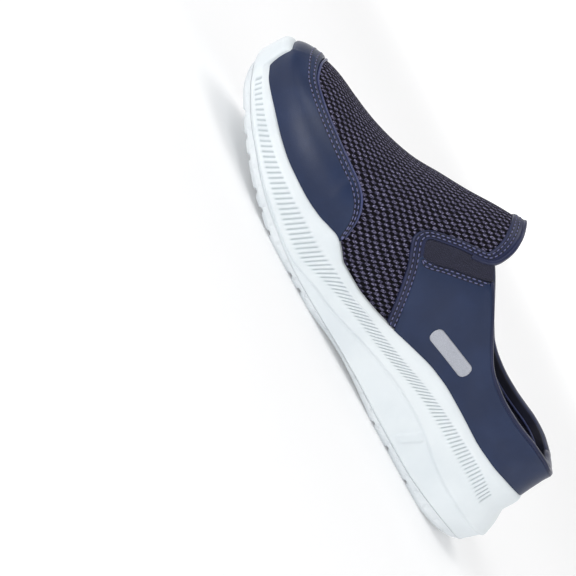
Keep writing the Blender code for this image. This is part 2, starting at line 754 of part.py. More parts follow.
def upper():
    """The whole shell: rear wall up to the collar, vamp up to the ridge, then thickened inwards."""
    solid = Solid()
    for flank in (LATERAL, MEDIAL):
        rows = []
        for s in rear_columns(flank):
            top = rise_of(section(flank, s), collar_height(flank, s))
            wall = [skin(flank, s, top * k / (LOW_ROWS - 1)) for k in range(LOW_ROWS)]
            rows.append([bed_point(flank, s)] + wall)
        solid.sheet(rows)
        rows = []
        corner = THROAT * LENGTH
        for s in vamp_columns(flank):
            points = section(flank, s)
            station = flank.at(s, UPPER_FOOT)[1]
            fade = float(np.clip((FLAP_BLEND * LENGTH - station) / (FLAP_BLEND * LENGTH - corner), 0, 1))
            rise = points[3][2] - points[0][2]
            share = fade * (collar_height(flank, s) - points[0][2]) / rise + (1 - fade) * SPLIT
            split = rise_of(points, points[0][2] + share * rise)
            row = [bed_point(flank, s)]
            row += [skin(flank, s, split * k / (LOW_ROWS - 1)) for k in range(LOW_ROWS)]
            for k in range(1, HIGH_ROWS + 1):
                part = k / HIGH_ROWS
                slant = (ease(FLAP, "station", part, key="share") - THROAT) * LENGTH * fade
                there = s if fade == 0 else flank.at_station(station + slant)
                row.append(skin(flank, there, split + (1 - split) * part))
            rows.append(row)
        solid.sheet(rows)
    item = solid.finish("upper", finish_of("upper_mesh", (0.05, 0.05, 0.09), 0.9), upward=outward)
    thicken(item, WALL)
    return item


def outward(point):
    """Away from the middle of the shoe."""
    middle = np.array([0, np.clip(point[1], -0.35 * LENGTH, 0.35 * LENGTH), 0.4 * INSTEP_HEIGHT])
    return point - type(point)(middle)


def thicken(item, thickness):
    modifier = item.modifiers.new("wall", "SOLIDIFY")
    modifier.thickness = thickness
    modifier.offset = -1
    modifier.use_even_offset = True
    modifier.use_quality_normals = True
    modifier.thickness_clamp = 0


def insole():
    """A flat footbed inside the foot of the upper, on the midsole's bed."""
    solid = Solid()
    inset = tuple(value + WALL + INSOLE_PLAY for value in UPPER_FOOT)
    rings = []
    for lift in (GAP, GAP + INSOLE):
        ring = {}
        for flank in (LATERAL, MEDIAL):
            columns = np.concatenate([rear_columns(flank), vamp_columns(flank)[1:]])
            for i, s in enumerate(columns):
                if flank is MEDIAL and i in (0, len(columns) - 1):
                    ring[flank, i] = ring[LATERAL, i]
                    continue
                x, station = flank.at(s, inset)
                z = flank.height(s, "floor") + lift
                ring[flank, i] = solid.mesh.verts.new(place(x, station, z))
        rings.append(ring)
    solid.ladder(rings[0])
    solid.bridge(*rings)
    solid.ladder(rings[1])
    return solid.finish("insole", finish_of("insole_cloth", (0.06, 0.06, 0.12), 0.9))


def panel(name, material, spans, rows, thickness):
    """An overlay between two heights at each column, lifted off the shell and thickened towards it."""
    solid = Solid()
    for flank, columns in spans:
        grid = []
        for s, low, high in columns:
            points = section(flank, s)
            first, last = rise_of(points, low), rise_of(points, high)
            shares = [first + (last - first) * k / rows for k in range(rows + 1)]
            grid.append([skin(flank, s, u, GAP + thickness) for u in shares])
        solid.sheet(grid)
    item = solid.finish(name, material, upward=outward)
    thicken(item, thickness)
    return item


def toe_guard(leather):
    """Leather round the toe, up to its curved seam."""
    spans = []
    for flank in (LATERAL, MEDIAL):
        first = flank.at_station(GUARD_SEAM["station"][0] * LENGTH)
        kept = COLUMNS[flank][::2]
        columns = np.concatenate([[first], kept[kept > first + 2 * GAP]])
        rows = []
        for s in columns:
            station = flank.at(s, UPPER_FOOT)[1] / LENGTH
            low = flank.height(s, "rim") + SEAT
            rows.append((s, low, max(ease(GUARD_SEAM, "height", station) * GUARD_HEIGHT, low + 2 * GAP)))
        spans.append((flank, rows))
    return panel("toe_guard", leather, spans, GUARD_ROWS, OVERLAY)


def quarter_panel(leather):
    """Leather round the heel, under the collar binding, ending in a point under each gore."""
    spans = []
    tip = QUARTER_FRONT["station"][-1]
    front = QUARTER_FRONT["station"][0]
    for flank in (LATERAL, MEDIAL):
        rows = []
        tips = flank.at_station(np.linspace(THROAT, tip, QUARTER_TIP + 1)[1:] * LENGTH)
        for s in np.concatenate([rear_columns(flank), tips]):
            station = flank.at(s, UPPER_FOOT)[1] / LENGTH
            low = flank.height(s, "rim") + SEAT
            high = collar_height(flank, s) - ROLL_DEPTH - 2 * GAP
            if station > front:
                low = max(low, ease(QUARTER_FRONT, "height", station) * COLLAR_HEIGHT + 2 * GAP)
                high = min(high, ease(GORE_BOTTOM, "height", station) * COLLAR_HEIGHT - 2 * GAP)
            rows.append((s, low, max(high, low + 2 * GAP)))
        spans.append((flank, rows))
    return panel("quarter_panel", leather, spans, QUARTER_ROWS, OVERLAY)


def gore(flank, name, elastic):
    """Elastic wedge between the quarter and the flap's side edge."""
    rows = []
    first, last = GORE_TOP["station"][0] + GORE_TRIM[0], GORE_TOP["station"][-1] - GORE_TRIM[1]
    for share in np.linspace(first, last, GORE_COLUMNS):
        low = ease(GORE_BOTTOM, "height", share) * COLLAR_HEIGHT + 2 * GAP
        high = ease(GORE_TOP, "height", share) * COLLAR_HEIGHT - 3 * GAP
        rows.append((flank.at_station(share * LENGTH), low, max(high, low + 2 * GAP)))
    return panel(name, elastic, [(flank, rows)], GORE_ROWS, GORE)


def seam_binding(flank, name, leather):
    """Folded band over the seam, from the rim round the gore's front to the flap corner."""
    solid = Solid()
    steps = np.linspace(0, len(SEAM_BAND["row"]) - 1, BAND_COLUMNS)
    path = {key: ease(SEAM_BAND, key, steps, key="row") for key in SEAM_BAND}
    grid = []
    for a, az, b, bz in zip(path["inner"], path["inner_height"], path["outer"], path["outer_height"]):
        row = []
        for share, lift in ((0, 0.6), (0.5, 1.0), (1, 0.6)):
            station = (a + (b - a) * share) * LENGTH
            z = (az + (bz - az) * share) * COLLAR_HEIGHT
            rim = flank.height(flank.at_station(station), "rim") + SEAT
            row.append(drape(flank, station, max(z, rim), GAP + BAND * lift + 0.4 * BAND))
        grid.append(row)
    solid.sheet(grid)
    item = solid.finish(name, leather, upward=outward)
    thicken(item, BAND)
    return item


def fold_profile():
    """Half-round fold over the shell's edge, as (outward, along the wall) from the edge."""
    near = GAP + ROLL_CLEARANCE
    far = near + ROLL
    inside = -WALL
    return (
        (far, -ROLL_DEPTH),
        (far, 0.0),
        (0.6 * far, 0.8 * far),
        (inside / 2, far),
        (inside - 0.6 * far, 0.8 * far),
        (inside - far, 0.0),
        (inside - far, -ROLL_DEPTH),
        (inside - near, -ROLL_DEPTH),
        (inside - near, near),
        (near, near),
        (near, -ROLL_DEPTH),
    )


def fold_ring(edge, facing, upward):
    """The fold's profile at one point of an edge, all in (x, station, z)."""
    return [place(*(edge + a * facing + b * upward)) for a, b in fold_profile()]


def wall_direction(flank, s, u):
    up = on_curve(section(flank, s), u) - on_curve(section(flank, s), u - 0.02)
    return up / np.linalg.norm(up)


def collar_binding(leather):
    """Rolled leather over the collar, from one gore round the heel to the other."""
    solid = Solid()
    end = GORE_TOP["station"][0] * LENGTH
    rings = []
    for flank in (LATERAL, MEDIAL):
        columns = rear_columns(flank)
        columns = np.append(columns[columns < flank.at_station(end) - 2 * ROLL], flank.at_station(end))
        order = columns[::-1] if flank is LATERAL else columns[1:]
        for s in order:
            points = section(flank, s)
            u = rise_of(points, collar_height(flank, s))
            rings.append(fold_ring(on_curve(points, u), normal(flank, s, u), wall_direction(flank, s, u)))
    solid.tube(rings)
    return solid.finish("collar_binding", leather)


def throat_binding(leather):
    """Folded band over the flap's rear edge, from corner to corner."""
    solid = Solid()
    corner = THROAT * LENGTH
    edges = []
    for flank in (LATERAL, MEDIAL):
        s = flank.at_station(corner)
        split = rise_of(section(flank, s), collar_height(flank, s))
        shares = np.linspace(FOLD_START, 1, FOLD_COLUMNS)
        if flank is MEDIAL:
            shares = shares[-2::-1]
        for part in shares:
            there = flank.at_station(ease(FLAP, "station", part, key="share") * LENGTH)
            u = split + (1 - split) * part
            edges.append((on_curve(section(flank, there), u), normal(flank, there, min(u, RIDGE_LIMIT))))
    points = np.array([edge for edge, _ in edges])
    run = np.gradient(points, axis=0)
    rings = []
    for (edge, facing), way in zip(edges, run):
        rear = np.cross(way, facing)
        rear /= np.linalg.norm(rear)
        if rear[1] > 0:
            rear = -rear
        rings.append(fold_ring(edge, facing, rear))
    solid.tube(rings)
    return solid.finish("throat_binding", leather)


def clear_scene():
    for item in list(bpy.data.objects):
        bpy.data.objects.remove(item, do_unlink=True)


def main():
    clear_scene()
    leather = (0.035, 0.055, 0.115)
    outsole()
    midsole()
    insole()
    upper()
    toe_guard(finish_of("toe_guard_leather", leather, 0.35))
    quarter_panel(finish_of("quarter_leather", leather, 0.35))
    for flank, side in ((LATERAL, "lateral"), (MEDIAL, "medial")):
        gore(flank, f"gore_{side}", finish_of(f"gore_{side}_elastic", (0.04, 0.04, 0.09), 0.85))
        seam_binding(flank, f"seam_binding_{side}", finish_of(f"seam_{side}_leather", leather, 0.5))
    collar_binding(finish_of("collar_leather", leather, 0.4))
    throat_binding(finish_of("throat_leather", leather, 0.5))


main()
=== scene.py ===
"""Sneaker mule, left shoe: the pieces and finishes that dress its CAD frame.

Metres, +Z up, toe to -Y, the outer side of the foot to +X. A station is a distance from the heel end towards
the toe. The shoe's form is read from short tables of shares, and every piece lies on that form.
"""

import logging
import math
from collections.abc import Callable
from dataclasses import dataclass, field
from enum import Enum

import bmesh
import bpy
import numpy as np
from mathutils import Matrix, Vector


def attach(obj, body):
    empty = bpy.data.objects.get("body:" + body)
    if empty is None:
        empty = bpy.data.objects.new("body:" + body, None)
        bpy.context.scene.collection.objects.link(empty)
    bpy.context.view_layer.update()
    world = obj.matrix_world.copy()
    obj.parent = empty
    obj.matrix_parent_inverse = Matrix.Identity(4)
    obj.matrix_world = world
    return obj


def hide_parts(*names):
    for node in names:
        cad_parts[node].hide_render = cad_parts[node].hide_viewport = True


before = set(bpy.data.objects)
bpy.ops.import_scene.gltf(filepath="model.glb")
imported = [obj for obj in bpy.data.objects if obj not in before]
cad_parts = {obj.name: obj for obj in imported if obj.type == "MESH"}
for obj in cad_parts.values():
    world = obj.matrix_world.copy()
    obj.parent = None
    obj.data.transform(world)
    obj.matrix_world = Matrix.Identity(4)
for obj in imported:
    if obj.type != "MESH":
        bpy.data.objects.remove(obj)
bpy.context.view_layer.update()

LOG = logging.getLogger("sneaker_mule")
Array = np.ndarray
Table = dict[str, Array]
Inset = tuple[float, float, float]
Colour = tuple[int, int, int]

# The form's driving sizes
LENGTH = 0.298
HALF_WIDTH = 0.055
SOLE_HEIGHT = 0.050
INSTEP_HEIGHT = 0.118
COLLAR_HEIGHT = 0.072
GUARD_HEIGHT = 0.054
WALL = 0.0024
GAP = 0.0003
SEAT = 0.0011  # height of the overlays above the rim
ROLL_DEPTH = 0.0050  # how far the bindings reach over the edge
SHEET_SHARE = 0.7  # share of a panel's thickness that its sheet is given
BUMPER_RISE = 0.0115
BUMPER_HALF = 0.0203
BUMPER_RAMP = 0.0058
BUMPER_SHARE = 0.35
RIB_FIRST, RIB_LAST = 0.090, 0.957
TIP_OFFSET, RIDGE_OFFSET = -0.09, -0.045
HEEL_PIVOT, TOE_PIVOT = 0.128, 0.855
THROAT, FLAP_BLEND = 0.475, 0.56
TOE_FALL = 0.12
HEEL_TUCK = 0.014
WALL_BULGE, TOE_BULGE = 0.0035, 0.0006
ROOF_GAIN = 0.12  # how much longer the sections stay level at the toe
OUTLINE_EASE = 0.0035
OUTLINE_POINTS = 1440
OUTLINE_STEPS = 24  # points between two rows of the outline's table
SPLIT = 0.62  # share of a vamp section's rise below which its rows stay upright
LOW_SHARE = 0.45  # share of the vamp's rows that lie below the flap's corner
REAR_START, REAR_FADE = 0.5, 0.15  # the station where the wall's bulge fades out, and over how much
TUCK = 0.0016  # how far the leather reaches down behind the rim
RIBS = 100

# Insets of the sole's side from its outline: at the side, at the heel end and at the toe end
BOTTOM_EDGE = (0.0042, 0.0100, 0.0075)
TREAD_SIDE = (0.0016, 0.0060, 0.0055)
PARTING = (0.0010, 0.0034, 0.0038)
PANEL_TOP = (0.0016, 0.0012, 0.0018)
CREASE = (0.0000, 0.0000, 0.0012)
RIB_FOOT = (0.0004, 0.0042, 0.0004)
RIB_HEAD = (0.0020, 0.0100, 0.0000)
LIP = (0.0024, 0.0108, 0.0002)
RIM_OUTER = (0.0036, 0.0128, 0.0024)
RIM_INNER = (0.0058, 0.0152, 0.0092)
UPPER_FOOT = tuple(inset + GAP for inset in RIM_INNER)


def table(names: str, *rows: tuple[float, ...]) -> Table:
    """Named columns from rows of shares."""
    return dict(zip(names.split(), np.array(rows, float).T))


# Widths are shares of HALF_WIDTH, stations shares of LENGTH.
OUTLINE = table(
    "station lateral medial",
    (0.017, 0.340, 0.340),
    (0.050, 0.517, 0.525),
    (0.100, 0.624, 0.633),
    (0.150, 0.663, 0.665),
    (0.200, 0.691, 0.677),
    (0.250, 0.713, 0.668),
    (0.300, 0.743, 0.655),
    (0.350, 0.777, 0.645),
    (0.400, 0.814, 0.650),
    (0.450, 0.855, 0.672),
    (0.500, 0.898, 0.713),
    (0.550, 0.937, 0.772),
    (0.600, 0.969, 0.834),
    (0.650, 0.991, 0.891),
    (0.700, 0.998, 0.934),
    (0.750, 0.980, 0.953),
    (0.800, 0.934, 0.950),
    (0.850, 0.848, 0.914),
    (0.900, 0.704, 0.831),
    (0.950, 0.490, 0.650),
    (0.977, 0.320, 0.490),
    (0.993, 0.125, 0.310),
)
# Heights are shares of SOLE_HEIGHT, from the ground up.
SIDE = table(
    "station parting crease rib_bottom rib_top rim floor",
    (0.000, 0.200, 0.440, 0.600, 0.760, 1.040, 0.600),
    (0.050, 0.195, 0.430, 0.606, 0.770, 1.030, 0.600),
    (0.100, 0.170, 0.416, 0.630, 0.800, 0.995, 0.600),
    (0.150, 0.130, 0.406, 0.650, 0.825, 0.946, 0.598),
    (0.200, 0.100, 0.424, 0.640, 0.810, 0.920, 0.594),
    (0.250, 0.092, 0.472, 0.636, 0.788, 0.922, 0.588),
    (0.300, 0.092, 0.494, 0.622, 0.756, 0.918, 0.580),
    (0.350, 0.096, 0.484, 0.578, 0.708, 0.884, 0.555),
    (0.400, 0.104, 0.444, 0.512, 0.646, 0.804, 0.520),
    (0.450, 0.104, 0.384, 0.460, 0.594, 0.708, 0.478),
    (0.500, 0.098, 0.308, 0.418, 0.548, 0.628, 0.430),
    (0.550, 0.090, 0.242, 0.366, 0.494, 0.580, 0.385),
    (0.600, 0.086, 0.200, 0.282, 0.480, 0.574, 0.350),
    (0.625, 0.086, 0.165, 0.230, 0.460, 0.620, 0.338),
    (0.650, 0.092, 0.140, 0.188, 0.444, 0.658, 0.328),
    (0.675, 0.102, 0.144, 0.184, 0.448, 0.624, 0.320),
    (0.700, 0.118, 0.156, 0.194, 0.448, 0.586, 0.315),
    (0.750, 0.152, 0.192, 0.230, 0.440, 0.554, 0.315),
    (0.800, 0.206, 0.240, 0.274, 0.444, 0.550, 0.330),
    (0.850, 0.280, 0.308, 0.336, 0.472, 0.574, 0.365),
    (0.900, 0.350, 0.382, 0.414, 0.520, 0.630, 0.420),
    (0.950, 0.450, 0.482, 0.514, 0.604, 0.696, 0.490),
    (0.975, 0.510, 0.555, 0.600, 0.680, 0.755, 0.530),
    (1.000, 0.560, 0.620, 0.680, 0.760, 0.800, 0.560),
)
GROUND = table(
    "station ground",
    (0.000, 0.120),
    (0.025, 0.092),
    (0.050, 0.068),
    (0.100, 0.024),
    (0.145, 0.000),
    (0.310, 0.000),
    (0.350, 0.022),
    (0.400, 0.046),
    (0.450, 0.056),
    (0.490, 0.046),
    (0.530, 0.018),
    (0.562, 0.000),
    (0.692, 0.000),
    (0.735, 0.030),
    (0.770, 0.060),
    (0.810, 0.106),
    (0.845, 0.156),
    (0.880, 0.206),
    (0.915, 0.264),
    (0.945, 0.320),
    (0.975, 0.372),
    (1.000, 0.430),
)
# The ridge is a share of INSTEP_HEIGHT; wall and roof say how long each section stays upright and level.
RIDGE = table(
    "station height wall roof",
    (0.000, 1.150, 0.45, 0.62),
    (0.300, 1.150, 0.45, 0.62),
    (0.400, 1.125, 0.45, 0.62),
    (0.450, 1.075, 0.45, 0.62),
    (0.500, 1.003, 0.46, 0.60),
    (0.550, 0.925, 0.48, 0.58),
    (0.600, 0.836, 0.52, 0.58),
    (0.650, 0.756, 0.56, 0.58),
    (0.700, 0.675, 0.60, 0.60),
    (0.750, 0.621, 0.62, 0.62),
    (0.800, 0.584, 0.64, 0.62),
    (0.855, 0.559, 0.64, 0.62),
    (1.000, 0.500, 0.64, 0.62),
)
# Shares of COLLAR_HEIGHT
COLLAR = table(
    "station height",
    (0.000, 0.985),
    (0.070, 0.990),
    (0.100, 1.000),
    (0.140, 0.990),
    (0.170, 0.969),
    (0.200, 0.951),
    (0.240, 0.942),
    (0.275, 0.951),
    (0.305, 0.976),
    (0.333, 1.025),
    (0.360, 1.079),
    (0.390, 1.147),
    (0.426, 1.222),
    (0.450, 1.264),
    (0.475, 1.308),
)
# Rear edge of the flap, from its corner (0) to the ridge (1)
FLAP = table(
    "share station",
    (0.00, 0.4750),
    (0.20, 0.4765),
    (0.50, 0.4880),
    (0.75, 0.4985),
    (0.90, 0.5020),
    (1.00, 0.5025),
)
# Shares of GUARD_HEIGHT
GUARD_SEAM = table(
    "station height",
    (0.643, 0.640),
    (0.651, 0.722),
    (0.664, 0.839),
    (0.678, 0.913),
    (0.698, 0.967),
    (0.725, 0.990),
    (0.775, 0.990),
    (0.830, 0.993),
    (0.886, 1.006),
    (0.913, 1.022),
    (0.943, 1.072),
    (0.970, 1.120),
)
# Front seam and gore, side view, heights as shares of COLLAR_HEIGHT
QUARTER_FRONT = table(
    "station height",
    (0.450, 0.482),
    (0.473, 0.585),
    (0.503, 0.717),
    (0.530, 0.825),
    (0.552, 0.886),
)
GORE_BOTTOM = table(
    "station height",
    (0.450, 1.264),
    (0.480, 1.153),
    (0.507, 1.054),
    (0.530, 0.963),
    (0.550, 0.925),
    (0.562, 0.940),
    (0.574, 0.962),
)
GORE_TOP = table(
    "station height",
    (0.450, 1.270),
    (0.473, 1.308),
    (0.483, 1.296),
    (0.503, 1.217),
    (0.530, 1.139),
    (0.554, 1.054),
    (0.574, 0.965),
)
# Both edges of the seam binding from the rim to the flap corner
SEAM_BAND = table(
    "row inner inner_height outer outer_height",
    (0, 0.452, 0.487, 0.470, 0.474),
    (1, 0.473, 0.590, 0.498, 0.612),
    (2, 0.503, 0.722, 0.527, 0.739),
    (3, 0.530, 0.830, 0.556, 0.847),
    (4, 0.552, 0.893, 0.580, 0.918),
    (5, 0.571, 0.925, 0.590, 0.975),
    (6, 0.577, 0.955, 0.588, 1.049),
    (7, 0.571, 1.000, 0.570, 1.118),
    (8, 0.556, 1.065, 0.552, 1.170),
    (9, 0.532, 1.150, 0.537, 1.228),
    (10, 0.506, 1.226, 0.520, 1.290),
)
# How far the ribs' tops lean to the heel
LEAN = table(
    "station share",
    (0.00, 0.0),
    (0.10, 0.0),
    (0.22, 0.3),
    (0.32, 0.9),
    (0.42, 1.4),
    (0.52, 1.3),
    (0.65, 0.9),
    (0.80, 0.6),
    (0.90, 0.4),
    (0.957, 0.0),
    (1.00, 0.0),
)
RIB_LEAN = 0.0065
GROOVES = (0.185, 0.258, 0.312, 0.595, 0.627, 0.711, 0.752, 0.785, 0.842, 0.876, 0.913)


def ease(columns: Table, name: str, at: Array | float, key: str = "station") -> Array:
    """Read a column as a smooth curve that never overshoots its rows.

    Args:
        columns: the table.
        name: the column that is read.
        at: where it is read, in the key column's unit.
        key: the column that rises from row to row.

    Returns:
        One value for each place.
    """
    x, y = columns[key], columns[name]
    step, grade = np.diff(x), np.diff(y) / np.diff(x)
    slope = np.zeros_like(y)
    slope[0], slope[-1] = grade[0], grade[-1]
    for i in range(1, len(x) - 1):
        if grade[i - 1] * grade[i] > 0:
            before, after = 2 * step[i] + step[i - 1], step[i] + 2 * step[i - 1]
            slope[i] = (before + after) / (before / grade[i - 1] + after / grade[i])
    at = np.clip(at, x[0], x[-1])
    i = np.clip(np.searchsorted(x, at) - 1, 0, len(x) - 2)
    u = (at - x[i]) / step[i]
    return (
        (2 * u**3 - 3 * u**2 + 1) * y[i]
        + (u**3 - 2 * u**2 + u) * step[i] * slope[i]
        + (3 * u**2 - 2 * u**3) * y[i + 1]
        + (u**3 - u**2) * step[i] * slope[i + 1]
    )


def smoothstep(share: Array | float) -> Array:
    """A soft step from 0 to 1."""
    share = np.clip(share, 0, 1)
    return share * share * (3 - 2 * share)


def edge_lift(distance: Array, radius: float) -> Array:
    """A quarter round, from 0 at an edge to 1 a radius away from it."""
    left = 1 - np.clip(distance / radius, 0, 1)
    return np.sqrt(1 - left * left)


def unit(vectors: Array) -> Array:
    """The same directions at length 1."""
    return vectors / np.linalg.norm(vectors, axis=-1, keepdims=True)


def running(points: Array) -> Array:
    """The length of the line from its first point to each point."""
    return np.concatenate([[0], np.cumsum(np.linalg.norm(np.diff(points, axis=0), axis=1))])


def read_along(values: Array, run: Array, at: Array | float) -> Array:
    """Read values that are given at the lengths run, at other lengths.

    Args:
        values: one row for each length.
        run: the lengths, which rise.
        at: where the values are read.

    Returns:
        The values, along a last axis.
    """
    return np.stack([np.interp(at, run, column) for column in values.T], -1)


def bell(step: float, width: float) -> Array:
    """Weights of a bell curve of this width for points a step apart, which sum to 1."""
    reach = int(3 * width / step)
    weights = np.exp(-0.5 * (np.arange(-reach, reach + 1) * step / width) ** 2)
    return weights / weights.sum()


def closed_outline() -> Array:
    """Even points on the sole's plan outline as (x, station), from the heel end round the lateral side."""
    stations = OUTLINE["station"] * LENGTH
    lateral = np.stack([OUTLINE["lateral"] * HALF_WIDTH, stations], 1)
    medial = np.stack([-OUTLINE["medial"] * HALF_WIDTH, stations], 1)[::-1]
    corners = np.concatenate([[(0, 0)], lateral, [(TIP_OFFSET * HALF_WIDTH, LENGTH)], medial])
    before, after, beyond = (np.roll(corners, k, axis=0) for k in (1, -1, -2))
    spans = []
    for u in np.linspace(0, 1, OUTLINE_STEPS, endpoint=False):
        bend = (2 * before - 5 * corners + 4 * after - beyond) * u**2
        twist = (3 * corners - before - 3 * after + beyond) * u**3
        spans.append(0.5 * (2 * corners + (after - before) * u + bend + twist))
    points = np.stack(spans, 1).reshape(-1, 2)
    points = np.concatenate([points, points[:1]])
    arc = running(points)
    even = np.linspace(0, arc[-1], OUTLINE_POINTS, endpoint=False)
    points = read_along(points, arc, even)
    weights = bell(even[1], OUTLINE_EASE)
    reach = len(weights) // 2
    points = sum(weight * np.roll(points, k - reach, axis=0) for k, weight in enumerate(weights))
    points[:, 1] = (points[:, 1] - points[:, 1].min()) * LENGTH / np.ptp(points[:, 1])
    return np.roll(points, -int(points[:, 1].argmin()), axis=0)


def on_curve(points: tuple[Array, Array, Array, Array], u: Array | float) -> Array:
    """Points of cubic curves at the shares u."""
    a, b, c, d = points
    u = np.asarray(u, float)[..., None]
    return (1 - u) ** 3 * a + 3 * (1 - u) ** 2 * u * b + 3 * (1 - u) * u**2 * c + u**3 * d


class Side(Enum):
    """The two sides of the foot, by the sign of their x."""

    LATERAL = 1
    MEDIAL = -1


@dataclass(eq=False)
class Flank:
    """One side of the shoe, read by the distance s along the outline from the heel end to the toe end."""

    side: Side
    points: Array
    normals: Array
    arc: Array = field(init=False)
    foot_stations: Array = field(init=False)

    def __post_init__(self) -> None:
        """Measure the outline, and where the upper's sections stand along it."""
        self.arc = running(self.points)
        self.foot_stations = np.maximum.accumulate(self.at(self.arc, UPPER_FOOT)[:, 1])

    @property
    def end(self) -> float:
        """The distance of the toe end."""
        return float(self.arc[-1])

    def read(self, values: Array, s: Array) -> Array:
        """Interpolate pairs that are given at the outline's points."""
        return read_along(values, self.arc, s)

    def station(self, s: Array) -> Array:
        """The outline's station at s."""
        return np.interp(s, self.arc, self.points[:, 1])

    def ends(self, s: Array) -> tuple[Array, Array]:
        """How much the outline faces the heel and the toe at s."""
        facing = self.read(self.normals, s)[..., 1]
        return np.clip(-facing, 0, 1) ** 1.2, np.clip(facing, 0, 1) ** 2

    def at(self, s: Array, inset: Inset) -> Array:
        """The outline moved in by (side, heel, toe) insets, as (x, station)."""
        side, heel, toe = inset
        back, front = self.ends(s)
        depth = side + (heel - side) * back + (toe - side) * front
        return self.read(self.points, s) - self.read(self.normals, s) * np.asarray(depth)[..., None]

    def raised(self, s: Array, inset: Inset, z: Array) -> Array:
        """The outline moved in by insets and up to the heights z."""
        return np.concatenate([self.at(s, inset), z[:, None]], 1)

    def level(self, s: Array, name: str) -> Array:
        """A height of the sole at s, without the toe bumper."""
        columns = GROUND if name == "ground" else SIDE
        return ease(columns, name, self.station(s) / LENGTH) * SOLE_HEIGHT

    def height(self, s: Array, name: str) -> Array:
        """The same with the bumper, which lifts the rim and, less, the head of the rib band."""
        rise = smoothstep((BUMPER_HALF + BUMPER_RAMP - (self.end - s)) / BUMPER_RAMP) * BUMPER_RISE
        return self.level(s, name) + rise * {"rim": 1.0, "rib_top": BUMPER_SHARE}.get(name, 0.0)

    def at_station(self, station: Array | float) -> Array:
        """The s whose upper section stands at this station, between the pivots."""
        return np.interp(station, self.foot_stations, self.arc)

    def section(self, s: Array) -> tuple[Array, Array, Array, Array]:
        """Curve points of half sections of the upper, from the rim up to the ridge."""
        foot = self.at(s, UPPER_FOOT)
        station = foot[..., 1]
        rim = self.level(s, "rim")
        along = np.clip(station, HEEL_PIVOT * LENGTH, TOE_PIVOT * LENGTH)
        share = along / LENGTH
        ridge = ease(RIDGE, "height", share) * INSTEP_HEIGHT
        top = np.stack([np.full_like(along, RIDGE_OFFSET * HALF_WIDTH), along, ridge], -1)
        start = np.concatenate([foot, rim[..., None]], -1)
        reach = start[..., :2] - top[..., :2]
        span = np.linalg.norm(reach, axis=-1)
        out = reach / span[..., None]
        back, front = self.ends(s)
        roof = (ease(RIDGE, "roof", share) + ROOF_GAIN * front) * span
        swell = WALL_BULGE * (1 - back) - HEEL_TUCK * back - (WALL_BULGE - TOE_BULGE) * front
        swell = swell - WALL_BULGE * smoothstep((REAR_START - station / LENGTH) / REAR_FADE) * (1 - back)
        rise = ease(RIDGE, "wall", share) * (ridge - rim)
        first = start + np.concatenate([out * swell[..., None], rise[..., None]], -1)
        fall = TOE_FALL * np.maximum(0, station - TOE_PIVOT * LENGTH) / np.maximum(span, 1e-9)
        last = top + np.concatenate([out * roof[..., None], (-fall * roof)[..., None]], -1)
        return start, first, last, top

    def rise_of(self, s: Array, z: Array | float) -> Array:
        """The share u at which the half section at s reaches height z."""
        s, z = np.broadcast_arrays(np.asarray(s, float), np.asarray(z, float))
        points = self.section(s)
        low, high = np.zeros_like(z), np.ones_like(z)
        for _ in range(30):
            middle = (low + high) / 2
            below = on_curve(points, middle)[..., 2] < z
            low, high = np.where(below, middle, low), np.where(below, high, middle)
        return (low + high) / 2

    def normal(self, s: Array, u: Array) -> Array:
        """Outward normal of the upper in (x, station, z)."""
        s, u = np.broadcast_arrays(np.asarray(s, float), np.asarray(u, float))
        ridge_share = smoothstep((u - 0.9) / 0.1)
        u = np.minimum(u, 0.985)
        small, sign = 0.0008, self.side.value
        low, high = np.maximum(0, s - small), np.minimum(self.end, s + small)
        ahead = on_curve(self.section(high), u) - on_curve(self.section(low), u)
        curve = self.section(s)
        up = on_curve(curve, u + 0.01) - on_curve(curve, np.maximum(0, u - 0.01))
        ahead = np.where((s < small)[..., None], (sign, 0, 0), ahead)
        ahead = np.where((s > self.end - small)[..., None], (-sign, 0, 0), ahead)
        facing = unit(np.cross(ahead, up) * sign)
        facing[..., 0] *= 1 - ridge_share
        return unit(facing)

    def facing(self, s: Array, u: Array) -> Array:
        """Outward normal of the upper in world axes."""
        return self.normal(s, u) * (1, -1, 1)

    def skin(self, s: Array, u: Array, offset: Array | float = 0.0) -> Array:
        """World points of the upper's outer surface, moved out along its normal."""
        s, u = np.broadcast_arrays(np.asarray(s, float), np.asarray(u, float))
        lift = np.broadcast_to(np.asarray(offset, float), s.shape)[..., None]
        return place(on_curve(self.section(s), u) + lift * self.normal(s, u))

    def collar(self, s: Array) -> Array:
        """Height of the collar's edge at s."""
        return ease(COLLAR, "height", self.at(s, UPPER_FOOT)[..., 1] / LENGTH) * COLLAR_HEIGHT

    def vamp(self, s: Array, b: Array) -> tuple[Array, Array]:
        """Where the vamp's rows lie: slanted along the flap's rear edge, then upright.

        Args:
            s: columns, by their foot.
            b: shares of the rows, 0 at the rim, LOW_SHARE at the flap's corner and 1 at the ridge.

        Returns:
            The s and u of each point on the form.
        """
        s, b = np.broadcast_arrays(np.asarray(s, float), np.asarray(b, float))
        station = self.at(s, UPPER_FOOT)[..., 1]
        corner, blend = THROAT * LENGTH, FLAP_BLEND * LENGTH
        fade = np.clip((blend - station) / (blend - corner), 0, 1)
        start, _, _, top = self.section(s)
        rise = top[..., 2] - start[..., 2]
        share = fade * (self.collar(s) - start[..., 2]) / rise + (1 - fade) * SPLIT
        split = self.rise_of(s, start[..., 2] + share * rise)
        part = np.clip((b - LOW_SHARE) / (1 - LOW_SHARE), 0, 1)
        slant = (ease(FLAP, "station", part, key="share") - THROAT) * LENGTH * fade
        there = np.where(fade > 0, self.at_station(station + slant), s)
        return there, np.where(b < LOW_SHARE, split * b / LOW_SHARE, split + (1 - split) * part)

